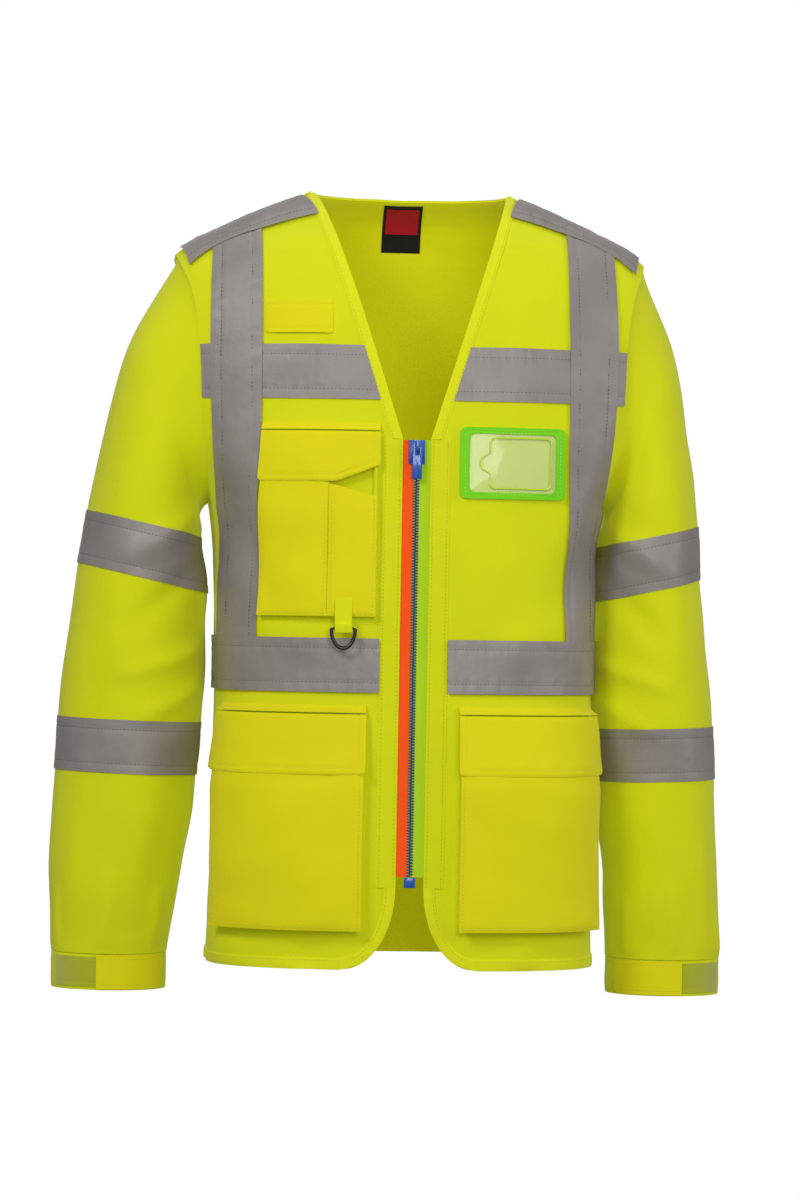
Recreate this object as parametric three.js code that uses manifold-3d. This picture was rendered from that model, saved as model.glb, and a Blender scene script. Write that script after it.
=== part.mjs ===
// High-visibility work jacket with a V neck, a front zip, pockets with flaps and retroreflective
// tapes, laid out as it stands when it is worn: +Z up, the front facing -Y, the wearer's left
// towards +X, and the origin at the middle of the neck opening.
import * as THREE from 'three';
import { mergeVertices } from 'three/addons/utils/BufferGeometryUtils.js';
import Module from 'manifold-3d';

const wasm = await Module();
wasm.setup();

// ---------------------------------------------------------------- driving dimensions, mm
const GAP = 0.3;                 // clearance between any two pieces
const FABRIC = 1.6;              // shell fabric with its lining
const TAPE_THICK = 0.3;          // retroreflective tape
const TAPE_WIDTH = 50;
const TRIM_THICK = 0.7;          // bindings, plackets, labels

const BODY_LENGTH = 728;         // neck point to hem
const BODY_HALF_WIDTH = 178;     // at the waist
const SHOULDER_HALF_WIDTH = 224;
const SHOULDER_DROP = 66;        // neck point to shoulder tip, measured down
const FRONT_DEPTH = 130;         // centre line to the zip
const CHEST_BACK_DEPTH = 124;
const WAIST_BACK_DEPTH = 96;
const NECK_HALF_WIDTH = 95;
const NECK_BACK_DEPTH = 75;
const V_DEPTH = 238;             // neck point to the top of the zip
const ARMHOLE_DEPTH = 230;

const BINDING_WIDTH = 10;
const PLACKET_WIDTH = 18;
const ZIP_TAPE_WIDTH = 13;       // one side, from the middle of the teeth
const ZIP_END = 652;             // neck level to the bottom end of the zip
const TEETH_WIDTH = 3.4;         // one row
const TEETH_THICK = 2.4;
const HEM_CORNER = 62;           // how far the rounded front corner runs along the hem

const CHEST_TAPE_DROP = 151;     // neck level to the tape's top edge
const WAIST_TAPE_DROP = 422;
const BRACE_INNER = 143;         // centre line to the vertical tape's inner edge
const BRACE_OUTER_LINE = [         // its outer edge seen from the front (x, height), which
  [187, 5], [190, -150],           // follows the armhole and the side as the body narrows
  [188, -206], [180, -296], [176, -360],
];

const SLEEVE_END = 722;          // neck level to the cuff seam
const CUFF_HEIGHT = 34;
const CUFF_HALF_WIDTH = 54;
const CUFF_HALF_DEPTH = 50;
const SLEEVE_HANG = {            // how far out each sleeve hangs, and what its half width gains
  right: { out: 14, wider: 2.5 },
  left: { out: -6, wider: -5 },
};
const SLEEVE_UPPER_TAPE_DROP = 297;
const SLEEVE_LOWER_TAPE_DROP = 500;

const CHEST_POCKET = { inner: 36, outer: 140, top: 223, bottom: 402, shallow: 6, deep: 10 };
const LOWER_POCKET = { inner: 45, outer: 170, top: 484, bottom: 692, shallow: 8, deep: 16 };
const POCKET_WALL = 1.2;
const FLAP_THICK = 1;
const FLAP_STRIP = 8;            // sewn strip that a flap hangs from
const LOWER_FLAP_LENGTH = 56;
const CHEST_FLAP_LENGTH = 46;
const PEN_POCKET_DIVIDE = 80;    // centre line to the seam between the two chest pockets

const ID_HOLDER = { inner: 40, outer: 139, top: 225, bottom: 291, border: 10 };
const MIC_TAB = { inner: 79, outer: 140, top: 111, bottom: 141, thick: 1.4 };
const LABEL = { width: 38, height: 44, drop: 3 };

const SLIDER = { width: 15, length: 22, plate: 1.8 };
const PULL = { width: 9, length: 30, thick: 1.6 };
const RING = { halfWidth: 11, drop: 17, wire: 1.8 };

// ---------------------------------------------------------------- colours and finishes
const FINISH = {
  shell: [0xbfc90c, 0.85, 0],
  flap: [0xd8d305, 0.85, 0],
  tape: [0xa8a49f, 0.45, 0],
  binding: [0xcecf20, 0.8, 0],
  orange: [0xe8501c, 0.8, 0],
  lime: [0xa9c81e, 0.8, 0],
  teeth: [0x1c4f78, 0.5, 0],
  blue: [0x0a4ea6, 0.4, 0],
  green: [0x78cd0a, 0.7, 0],
  clear: [0xe6ece4, 0.15, 0],
  black: [0x17181a, 0.5, 0],
  loop: [0x9aa010, 0.95, 0],
  label: [0x202124, 0.8, 0],
};

// ---------------------------------------------------------------- solids and booleans
function toSolid(geometry) {
  const plain = geometry.clone();
  plain.deleteAttribute('normal');
  plain.deleteAttribute('uv');
  const merged = mergeVertices(plain, 1e-4);
  const mesh = new wasm.Mesh({
    numProp: 3,
    vertProperties: new Float32Array(merged.attributes.position.array),
    triVerts: new Uint32Array(merged.index.array),
  });
  return new wasm.Manifold(mesh);
}

function toGeometry(solid) {
  const { vertProperties, triVerts } = solid.getMesh();
  const geometry = new THREE.BufferGeometry();
  geometry.setAttribute('position', new THREE.BufferAttribute(new Float32Array(vertProperties), 3));
  geometry.setIndex(new THREE.BufferAttribute(new Uint32Array(triVerts), 1));
  geometry.computeVertexNormals();
  return geometry;
}

// The solid between two offsets of a surface. pointAt(u, v) gives the surface; u wraps round.
// inner and outer give the offsets along the normal as functions of the point on the surface.
function layerSolid(surface, inner, outer) {
  const { columns, rows, pointAt, normalAt } = surface;
  const positions = [];
  const index = [];
  for (const offset of [outer, inner]) {
    for (let j = 0; j < rows; j += 1) {
      for (let i = 0; i < columns; i += 1) {
        const point = pointAt(i, j);
        const moved = point.clone().addScaledVector(normalAt(i, j), offset(point));
        positions.push(moved.x, moved.y, moved.z);
      }
    }
  }
  const inside = rows * columns;
  const at = (i, j) => j * columns + (i % columns);
  const quad = (a, b, c, d) => index.push(a, b, c, a, c, d);
  for (let i = 0; i < columns; i += 1) {
    for (let j = 0; j < rows - 1; j += 1) {
      quad(at(i, j), at(i, j + 1), at(i + 1, j + 1), at(i + 1, j));
      quad(inside + at(i, j), inside + at(i + 1, j), inside + at(i + 1, j + 1), inside + at(i, j + 1));
    }
    quad(at(i, 0), at(i + 1, 0), inside + at(i + 1, 0), inside + at(i, 0));
    const last = rows - 1;
    quad(at(i, last), inside + at(i, last), inside + at(i + 1, last), at(i + 1, last));
  }
  const geometry = new THREE.BufferGeometry();
  geometry.setAttribute('position', new THREE.Float32BufferAttribute(positions, 3));
  geometry.setIndex(signedVolume(positions, index) < 0 ? flipped(index) : index);
  return toSolid(geometry);
}

function signedVolume(positions, index) {
  const corner = (k) => new THREE.Vector3().fromArray(positions, 3 * index[k]);
  let sum = 0;
  for (let k = 0; k < index.length; k += 3) {
    sum += corner(k).dot(corner(k + 1).cross(corner(k + 2)));
  }
  return sum / 6;
}

function flipped(index) {
  const turned = [];
  for (let k = 0; k < index.length; k += 3) {
    turned.push(index[k], index[k + 2], index[k + 1]);
  }
  return turned;
}

// A straight-sided block whose outline is seen from the front: points are [x, z].
function prism(outline, yLow, yHigh) {
  const shape = new THREE.Shape(outline.map(([x, z]) => new THREE.Vector2(x, z)));
  const geometry = new THREE.ExtrudeGeometry(shape, { depth: yHigh - yLow, bevelEnabled: false });
  geometry.rotateX(Math.PI / 2);
  geometry.translate(0, yHigh, 0);
  return toSolid(geometry);
}

const FAR = 500;
const rectangle = (x0, x1, z0, z1) => [[x0, z0], [x1, z0], [x1, z1], [x0, z1]];
const front = (outline) => prism(outline, -FAR, -GAP / 2);
const back = (outline) => prism(outline, GAP / 2, FAR);
const through = (outline) => prism(outline, -FAR, FAR);
const mirrored = (outline, side) => outline.map(([x, z]) => [x * side, z]);

const jacket = new THREE.Group();

function addPiece(name, geometry, finish) {
  const [color, roughness, metalness] = FINISH[finish];
  const material = new THREE.MeshStandardMaterial({ color, roughness, metalness });
  const piece = new THREE.Mesh(geometry, material);
  piece.name = name;
  jacket.add(piece);
  return piece;
}

function addSolid(name, solid, finish) {
  return addPiece(name, toGeometry(solid), finish);
}

const SIDES = [['right', -1], ['left', 1]];    // the wearer's right lies towards -X

// ---------------------------------------------------------------- the body's surface
// Each row: height, half width, depth in front, depth behind, and how square the section is.
const tipDrop = SHOULDER_DROP;
const armholeEnd = tipDrop + ARMHOLE_DEPTH;
const BODY_ROWS = [
  [0, NECK_HALF_WIDTH, 24, NECK_BACK_DEPTH, 2.2],
  [-0.16 * tipDrop, NECK_HALF_WIDTH + 25, 46, NECK_BACK_DEPTH + 14, 2.2],
  [-0.34 * tipDrop, NECK_HALF_WIDTH + 51, 62, NECK_BACK_DEPTH + 25, 2.2],
  [-0.56 * tipDrop, NECK_HALF_WIDTH + 83, 76, NECK_BACK_DEPTH + 33, 2.2],
  [-0.78 * tipDrop, SHOULDER_HALF_WIDTH - 18, 87, NECK_BACK_DEPTH + 38, 2.3],
  [-tipDrop, SHOULDER_HALF_WIDTH + 2, 95, CHEST_BACK_DEPTH - 8, 2.4],
  [-tipDrop - 20, SHOULDER_HALF_WIDTH + 14, 103, CHEST_BACK_DEPTH - 5, 2.5],
  [-tipDrop - 50, SHOULDER_HALF_WIDTH + 18, 113, CHEST_BACK_DEPTH - 2, 2.6],
  [-tipDrop - 92, SHOULDER_HALF_WIDTH + 14, 122, CHEST_BACK_DEPTH, 2.7],
  [-tipDrop - 135, SHOULDER_HALF_WIDTH + 4, 127, CHEST_BACK_DEPTH + 1, 2.8],
  [-CHEST_POCKET.top, SHOULDER_HALF_WIDTH - 2, 129, CHEST_BACK_DEPTH, 2.8],
  [-CHEST_POCKET.top - FLAP_STRIP, SHOULDER_HALF_WIDTH - 5, 129.6, CHEST_BACK_DEPTH, 2.8],
  [-V_DEPTH, SHOULDER_HALF_WIDTH - 11, FRONT_DEPTH, CHEST_BACK_DEPTH - 1, 2.9],
  [-armholeEnd + 30, SHOULDER_HALF_WIDTH - 26, FRONT_DEPTH, CHEST_BACK_DEPTH - 4, 3],
  [-armholeEnd, BODY_HALF_WIDTH + 9, FRONT_DEPTH, CHEST_BACK_DEPTH - 8, 3],
  [-armholeEnd - 60, BODY_HALF_WIDTH + 3, FRONT_DEPTH, CHEST_BACK_DEPTH - 18, 3],
  [-WAIST_TAPE_DROP - 20, BODY_HALF_WIDTH, FRONT_DEPTH, WAIST_BACK_DEPTH, 3],
  [-LOWER_POCKET.top, BODY_HALF_WIDTH, FRONT_DEPTH, WAIST_BACK_DEPTH + 1, 3],
  [-LOWER_POCKET.top - FLAP_STRIP, BODY_HALF_WIDTH, FRONT_DEPTH, WAIST_BACK_DEPTH + 1, 3],
  [-LOWER_POCKET.top - 80, BODY_HALF_WIDTH + 1, FRONT_DEPTH, WAIST_BACK_DEPTH + 4, 3],
  [-BODY_LENGTH, BODY_HALF_WIDTH + 4, FRONT_DEPTH, WAIST_BACK_DEPTH + 10, 3],
];
const BODY_COLUMNS = 32;

function bodyRowAt(z) {
  let k = 0;
  while (k < BODY_ROWS.length - 2 && z < BODY_ROWS[k + 1][0]) {
    k += 1;
  }
  const share = THREE.MathUtils.clamp(
    (z - BODY_ROWS[k][0]) / (BODY_ROWS[k + 1][0] - BODY_ROWS[k][0]), 0, 1);
  return BODY_ROWS[k].map((value, n) => THREE.MathUtils.lerp(value, BODY_ROWS[k + 1][n], share));
}

function bodyPoint(angle, z) {
  const [, half, ahead, behind, power] = bodyRowAt(z);
  const depth = Math.sin(angle) < 0 ? ahead : behind;
  const across = Math.abs(Math.cos(angle) / half) ** power;
  const along = Math.abs(Math.sin(angle) / depth) ** power;
  const radius = (across + along) ** (-1 / power);
  return new THREE.Vector3(radius * Math.cos(angle), radius * Math.sin(angle), z);
}

function bodyNormal(angle, z) {
  const step = 0.02;
  const reach = 4;
  const around = bodyPoint(angle + step, z).sub(bodyPoint(angle - step, z));
  const up = bodyPoint(angle, Math.min(z + reach, 0)).sub(bodyPoint(angle, z - reach));
  return around.cross(up).normalize();
}

const columnAngle = (i) => ((i + 0.5) / BODY_COLUMNS) * 2 * Math.PI;
const bodySurface = {
  columns: BODY_COLUMNS,
  rows: BODY_ROWS.length,
  pointAt: (i, j) => bodyPoint(columnAngle(i), BODY_ROWS[j][0]),
  normalAt: (i, j) => bodyNormal(columnAngle(i), BODY_ROWS[j][0]),
};
const bodyLayer = (inner, outer) => layerSolid(bodySurface, () => inner, () => outer);

// How far out a pocket's front wall stands at a height: shallow at the mouth, deep below.
function pocketReach(pocket, z) {
  const mouth = -pocket.top - FLAP_STRIP;
  if (z >= mouth) {
    const share = THREE.MathUtils.clamp((-pocket.top - z) / FLAP_STRIP, 0, 1);
    return THREE.MathUtils.lerp(POCKET_WALL + GAP, pocket.shallow, share);
  }
  const share = THREE.MathUtils.clamp((mouth - z) / 70, 0, 1);
  return THREE.MathUtils.lerp(pocket.shallow, pocket.deep, share);
}
const pocketLayer = (pocket, inner, outer) => layerSolid(
  bodySurface,
  (point) => (inner === 'panel' ? GAP : pocketReach(pocket, point.z) + inner),
  (point) => pocketReach(pocket, point.z) + outer,
);

// Where a layer of the front stands at a given x and height.
function frontY(x, z, offset) {
  let low = -Math.PI / 2;
  let high = 0;
  const moved = (angle) => bodyPoint(angle, z).addScaledVector(bodyNormal(angle, z), offset);
  for (let k = 0; k < 30; k += 1) {
    const middle = (low + high) / 2;
    if (moved(middle).x < Math.abs(x)) low = middle;
    else high = middle;
  }
  return moved(low).y;
}

// Outer faces of the stacked layers: each starts GAP above the one below it.
const LAYER_ONE = [GAP, GAP + TAPE_THICK];
const LAYER_TRIM = [GAP, GAP + TRIM_THICK];
const LAYER_TWO = [2 * GAP + TAPE_THICK, 2 * (GAP + TAPE_THICK)];
const LAYER_THREE = [3 * GAP + 2 * TAPE_THICK, 3 * (GAP + TAPE_THICK)];

// ---------------------------------------------------------------- outlines seen from the front
const armholeTop = SHOULDER_HALF_WIDTH - 2;
const ARMHOLE_LINE = [
  [armholeTop, -tipDrop],
  [armholeTop - 14, -tipDrop - 35],
  [armholeTop - 22, -tipDrop - 85],
  [armholeTop - 25, -tipDrop - 140],
  [BODY_HALF_WIDTH + 9, -armholeEnd],
];

function armholeX(z) {
  let k = 0;
  while (k < ARMHOLE_LINE.length - 2 && z < ARMHOLE_LINE[k + 1][1]) {
    k += 1;
  }
  const [x0, z0] = ARMHOLE_LINE[k];
  const [x1, z1] = ARMHOLE_LINE[k + 1];
  return THREE.MathUtils.mapLinear(THREE.MathUtils.clamp(z, z1, z0), z0, z1, x0, x1);
}

const zipEdge = ZIP_TAPE_WIDTH + GAP;
const bodyBottom = -BODY_LENGTH - 1;
const vTop = NECK_HALF_WIDTH - 3;

// The rounded corner where the front edge runs into the hem, drawn inset from the edge.
function hemCorner(inset) {
  const steps = 6;
  return Array.from({ length: steps + 1 }, (_, k) => {
    const angle = (k / steps) * (Math.PI / 2);
    return [
      HEM_CORNER - (HEM_CORNER - zipEdge - inset) * Math.cos(angle),
      -ZIP_END - (BODY_LENGTH - ZIP_END - inset) * Math.sin(angle),
    ];
  });
}

const backOutline = [
  ...mirrored([[FAR, bodyBottom], [FAR, -armholeEnd], ...[...ARMHOLE_LINE].reverse(),
    [armholeTop, 5]], -1),
  ...[[FAR, bodyBottom], [FAR, -armholeEnd], ...[...ARMHOLE_LINE].reverse(), [armholeTop, 5]].reverse(),
];
const frontOutline = [
  [vTop, 1], [zipEdge, -V_DEPTH], ...hemCorner(0), [FAR, -BODY_LENGTH - 1],
  [FAR, -armholeEnd], ...[...ARMHOLE_LINE].reverse(), [armholeTop, 5], [vTop, 5],
];

// ---------------------------------------------------------------- shell panels and trim
function buildShell() {
  const shell = bodyLayer(-FABRIC, 0);
  addSolid('back_panel', shell.intersect(back(backOutline)), 'shell');
  for (const [name, side] of SIDES) {
    addSolid(`front_panel_${name}`, shell.intersect(front(mirrored(frontOutline, side))), 'shell');
  }
}

function buildBindings() {
  const trim = bodyLayer(...LAYER_TRIM);
  const strip = [[vTop, 1], [vTop + BINDING_WIDTH + 1, 1], [zipEdge + BINDING_WIDTH, -V_DEPTH],
    [zipEdge, -V_DEPTH]];
  let binding = trim.intersect(prism(rectangle(-FAR, FAR, -BINDING_WIDTH, 1), 0, FAR));
  for (const [, side] of SIDES) {
    binding = binding.add(trim.intersect(prism(mirrored(strip, side), -FAR, GAP / 10)));
  }
  addSolid('neck_binding', binding, 'binding');

  const hem = [...hemCorner(0), [FAR, -BODY_LENGTH], [FAR, -BODY_LENGTH + BINDING_WIDTH],
    ...hemCorner(BINDING_WIDTH).reverse()];
  const placket = rectangle(zipEdge, zipEdge + PLACKET_WIDTH, -ZIP_END + GAP, -V_DEPTH - GAP);
  for (const [name, side] of SIDES) {
    addSolid(`hem_binding_${name}`, trim.intersect(front(mirrored(hem, side))), 'binding');
    addSolid(`front_placket_${name}`, trim.intersect(front(mirrored(placket, side))), 'shell');
  }
  const backHem = rectangle(-FAR, FAR, -BODY_LENGTH - 1, -BODY_LENGTH + BINDING_WIDTH);
  addSolid('hem_binding_back', trim.intersect(back(backHem)), 'binding');

  const label = rectangle(-LABEL.width / 2, LABEL.width / 2, -LABEL.drop - LABEL.height, -LABEL.drop);
  const lining = bodyLayer(-FABRIC - GAP - TRIM_THICK, -FABRIC - GAP);
  addSolid('neck_label', lining.intersect(back(label)), 'label');
}

// ---------------------------------------------------------------- retroreflective tapes
function buildBodyTapes() {
  const first = bodyLayer(...LAYER_ONE);
  const second = bodyLayer(...LAYER_TWO);
  const third = bodyLayer(...LAYER_THREE);
  const chestTop = -CHEST_TAPE_DROP;
  const chestBottom = chestTop - TAPE_WIDTH;
  const vEdge = (z) => THREE.MathUtils.mapLinear(z, 0, -V_DEPTH, vTop, zipEdge) + BINDING_WIDTH + 2;
  const armEdge = (z) => armholeX(z) - 1;
  const chest = [[vEdge(chestTop), chestTop], [vEdge(chestBottom), chestBottom],
    [armEdge(chestBottom), chestBottom], [armEdge(chestTop), chestTop]];
  const chestBack = [...mirrored(chest.slice(2).reverse(), -1), ...chest.slice(2)];
  const braceEnd = -WAIST_TAPE_DROP - BINDING_WIDTH;
  const braceFoot = BRACE_OUTER_LINE.at(-1)[0];
  const brace = [[BRACE_INNER, braceEnd], [braceFoot, braceEnd],
    ...[...BRACE_OUTER_LINE].reverse(), [BRACE_INNER, 5]];
  const waist = rectangle(zipEdge + PLACKET_WIDTH + GAP, FAR,
    -WAIST_TAPE_DROP - TAPE_WIDTH, -WAIST_TAPE_DROP);
  const waistBack = rectangle(-FAR, FAR, -WAIST_TAPE_DROP - TAPE_WIDTH, -WAIST_TAPE_DROP);
  const neckEnd = NECK_HALF_WIDTH + BINDING_WIDTH;
  const shoulder = [[neckEnd, 5], [neckEnd, -tipDrop - 40], [armEdge(-tipDrop - 40), -tipDrop - 40],
    [armEdge(-tipDrop - 14), -tipDrop - 14], [armholeTop - 3, -tipDrop], [armholeTop - 3, 5]];
  for (const [name, side] of SIDES) {
    addSolid(`chest_tape_${name}`, first.intersect(front(mirrored(chest, side))), 'tape');
    addSolid(`brace_tape_${name}`, second.intersect(through(mirrored(brace, side))), 'tape');
    addSolid(`waist_tape_${name}`, third.intersect(front(mirrored(waist, side))), 'tape');
    const band = prism(mirrored(shoulder, side), -TAPE_WIDTH - 6, -6);
    addSolid(`shoulder_tape_${name}`, third.intersect(band), 'tape');
  }
  addSolid('chest_tape_back', first.intersect(back(chestBack)), 'tape');
  addSolid('waist_tape_back', third.intersect(back(waistBack)), 'tape');
}

// ---------------------------------------------------------------- zip
const zipY = -FRONT_DEPTH + FABRIC / 2;     // middle of the teeth
const teethEnd = -ZIP_END + 10;
const block = (x0, x1, y0, y1, z0, z1) => {
  const geometry = new THREE.BoxGeometry(Math.abs(x1 - x0), y1 - y0, z1 - z0);
  geometry.translate((x0 + x1) / 2, (y0 + y1) / 2, (z0 + z1) / 2);
  return geometry;
};

function buildZip() {
  const tapeHalf = 0.3;
  for (const [name, side] of SIDES) {
    const finish = side < 0 ? 'orange' : 'lime';
    addPiece(`zip_tape_${name}`, block(side * (TEETH_WIDTH + GAP), side * ZIP_TAPE_WIDTH,
      zipY - tapeHalf, zipY + tapeHalf, teethEnd, -V_DEPTH), finish);
    addPiece(`zip_teeth_${name}`, block(side * GAP / 2, side * TEETH_WIDTH,
      zipY - TEETH_THICK / 2, zipY + TEETH_THICK / 2, teethEnd, -V_DEPTH - 1), 'teeth');
  }
  const boxHalf = 5.2;
  addPiece('zip_bottom_box', block(-boxHalf, boxHalf, zipY - 2, zipY + 2, -ZIP_END, teethEnd - GAP),
    'blue');

  const plateBack = zipY - TEETH_THICK / 2 - GAP;
  const plateFront = plateBack - SLIDER.plate;
  const half = SLIDER.width / 2;
  const top = -V_DEPTH;
  const flange = 2;
  const flangeDepth = plateBack + TEETH_THICK / 2 - tapeHalf;
  let slider = toSolid(block(-half, half, plateFront, plateBack, top - SLIDER.length, top));
  for (const [, side] of SIDES) {
    slider = slider.add(toSolid(block(side * (half - flange), side * half, plateFront,
      flangeDepth, top - SLIDER.length, top)));
  }
  const arch = toSolid(block(-1.5, 1.5, plateFront - 6.2, plateFront + 0.5, top - 10, top - 1));
  const eye = toSolid(block(-2, 2, plateFront - 4.6, plateFront - 1.2, top - 8.4, top - 2.6));
  addSolid('zip_slider', slider.add(arch.subtract(eye)), 'blue');

  const pivotZ = top - 7;
  const pivotY = plateFront - 2.9;
  const reach = 7.3;                        // slot length that clears the arch as the pull swings
  const shape = new THREE.Shape([[-1, -1], [1, -1], [1, 1], [-1, 1]].map(([x, z]) => (
    new THREE.Vector2(x * PULL.width / 2, pivotZ + (z > 0 ? PULL.thick / 2 : 1 - PULL.length)))));
  const slot = new THREE.Path([[-1, 0], [1, 0], [1, 1], [-1, 1]].map(([x, z]) => (
    new THREE.Vector2(x * 1.9, pivotZ - (z > 0 ? reach : PULL.thick / 2)))));
  shape.holes.push(slot);
  const pull = new THREE.ExtrudeGeometry(shape, { depth: PULL.thick, bevelEnabled: false });
  pull.rotateX(Math.PI / 2);
  pull.translate(0, pivotY + PULL.thick / 2, 0);
  addSolid('zip_pull', toSolid(pull), 'blue');
}

// ---------------------------------------------------------------- pockets
// A pocket: a front wall held off the panel by a gusset round its sides and bottom, open at
// the top, under a flap that hangs from a sewn strip.
function pocketBox(pocket, side, inset, flapLength) {
  const mouth = -pocket.top - FLAP_STRIP;
  const { inner, outer, bottom, top } = pocket;
  const wallTop = mouth - 3;
  return {
    wall: mirrored(rectangle(inner, outer, -bottom, wallTop), side),
    hollow: mirrored(rectangle(inner + inset, outer - inset, -bottom + inset, 5), side),
    flap: mirrored(rectangle(inner - 2, outer + 2, mouth - flapLength, mouth - GAP), side),
    strip: mirrored(rectangle(inner - 2, outer + 2, mouth, -top), side),
  };
}

function buildLowerPockets() {
  const gussets = pocketLayer(LOWER_POCKET, 'panel', -POCKET_WALL - GAP);
  const walls = pocketLayer(LOWER_POCKET, -POCKET_WALL, 0);
  const flaps = pocketLayer(LOWER_POCKET, GAP, GAP + FLAP_THICK);
  const strips = pocketLayer(LOWER_POCKET, 'panel', GAP + FLAP_THICK);
  for (const [name, side] of SIDES) {
    const box = pocketBox(LOWER_POCKET, side, 2, LOWER_FLAP_LENGTH);
    const gusset = gussets.intersect(front(box.wall)).subtract(front(box.hollow));
    addSolid(`lower_pocket_gusset_${name}`, gusset, 'flap');
    addSolid(`lower_pocket_wall_${name}`, walls.intersect(front(box.wall)), 'flap');
    addSolid(`lower_pocket_flap_${name}`, flaps.intersect(front(box.flap)), 'flap');
    addSolid(`lower_flap_strip_${name}`, strips.intersect(front(box.strip)), 'flap');
  }
}

const ringX = -66;

function buildChestPocket() {
  const side = -1;
  const gussets = pocketLayer(CHEST_POCKET, 'panel', -POCKET_WALL - GAP);
  const walls = pocketLayer(CHEST_POCKET, -POCKET_WALL, 0);
  const flaps = pocketLayer(CHEST_POCKET, GAP, GAP + FLAP_THICK);
  const strips = pocketLayer(CHEST_POCKET, 'panel', GAP + FLAP_THICK);
  const box = pocketBox(CHEST_POCKET, side, 2, CHEST_FLAP_LENGTH);
  const { inner, outer, bottom } = CHEST_POCKET;
  const divider = mirrored(
    rectangle(PEN_POCKET_DIVIDE - 1, PEN_POCKET_DIVIDE + 1, -bottom, -CHEST_POCKET.top - 14), side);
  const gusset = gussets.intersect(front(box.wall)).subtract(front(box.hollow))
    .add(gussets.intersect(front(divider)));
  addSolid('chest_pocket_gusset', gusset, 'shell');
  const mouth = -CHEST_POCKET.top - FLAP_STRIP - 3;
  const plain = mirrored(rectangle(PEN_POCKET_DIVIDE + GAP, outer, -bottom, mouth), side);
  const pen = mirrored([[inner, -bottom], [PEN_POCKET_DIVIDE, -bottom],
    [PEN_POCKET_DIVIDE, mouth - 45], [inner, mouth - 57]], side);
  addSolid('chest_pocket_wall', walls.intersect(front(plain)), 'shell');
  addSolid('pen_pocket_wall', walls.intersect(front(pen)), 'flap');
  addSolid('chest_pocket_flap', flaps.intersect(front(box.flap)), 'flap');
  addSolid('chest_flap_strip', strips.intersect(front(box.strip)), 'flap');

  // Webbing that folds round the straight side of the D-ring and is sewn to the pocket.
  const half = 8;
  const sewnTop = -bottom + 16;
  const webBack = frontY(Math.abs(ringX) - half, -bottom + 1, CHEST_POCKET.deep) - GAP;
  const loopTop = -bottom - 7;
  const loopBottom = loopTop - 8;
  const loopDepth = 6.4;
  const stem = block(ringX - half, ringX + half, webBack - 1.6, webBack, loopTop, sewnTop);
  const loop = block(ringX - half, ringX + half, webBack - loopDepth, webBack, loopBottom, loopTop);
  const eye = block(ringX - half - 1, ringX + half + 1, webBack - loopDepth + 1, webBack - 1,
    loopBottom + 1.4, loopTop - 1.4);
  const web = toSolid(stem).add(toSolid(loop)).subtract(toSolid(eye));
  addSolid('d_ring_webbing', web, 'shell');

  const barRise = 1.5;
  const ring = new THREE.TorusGeometry(RING.halfWidth, RING.wire, 8, 20);
  const position = ring.attributes.position;
  for (let k = 0; k < position.count; k += 1) {
    const angle = Math.atan2(position.getY(k), position.getX(k));
    const height = Math.sin(angle) * (Math.sin(angle) < 0 ? RING.drop : barRise);
    position.setY(k, position.getY(k) - Math.sin(angle) * RING.halfWidth + height);
  }
  ring.rotateX(Math.PI / 2);
  ring.translate(ringX, webBack - loopDepth / 2, (loopTop + loopBottom) / 2 - barRise + 0.2);
  addSolid('d_ring', toSolid(ring), 'black');
}

// ---------------------------------------------------------------- ID holder and radio tab
function buildIdHolder() {
  const { inner, outer, top, bottom, border } = ID_HOLDER;
  const outline = front(rectangle(inner, outer, -bottom, -top));
  const hole = front(rectangle(inner + 2 * border, outer - border, -bottom + border / 2,
    -top - border / 2));
  const sheet = 0.4;
  const window = 2 * GAP + sheet;
  const frame = 3 * GAP + 2 * sheet;
  addSolid('id_holder_back', bodyLayer(GAP, GAP + sheet).intersect(outline), 'green');
  addSolid('id_holder_window', bodyLayer(window, window + sheet).intersect(outline), 'clear');
  addSolid('id_holder_frame', bodyLayer(frame, frame + 2 * sheet).intersect(outline)
    .subtract(hole), 'green');
}

function buildMicTab() {
  const { inner, outer, top, bottom, thick } = MIC_TAB;
  const middle = (top + bottom) / 2;
  const rise = top - bottom;
  // Tangent to the chest at the tab's middle, and clear of it at the edges.
  const y0 = frontY(inner, -middle, 0);
  const y1 = frontY(outer, -middle, 0);
  const turn = Math.atan2(y1 - y0, outer - inner);
  const lean = Math.atan2(frontY((inner + outer) / 2, -top, 0) - frontY((inner + outer) / 2, -bottom, 0),
    -rise);
  const geometry = new THREE.BoxGeometry(outer - inner, thick, -rise);
  const tab = addPiece('mic_tab', geometry, 'flap');
  const crown = 2.2;
  tab.rotation.set(-lean, 0, -turn, 'ZYX');
  tab.position.set(-(inner + outer) / 2, (y0 + y1) / 2 - crown, -middle);
}

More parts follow.
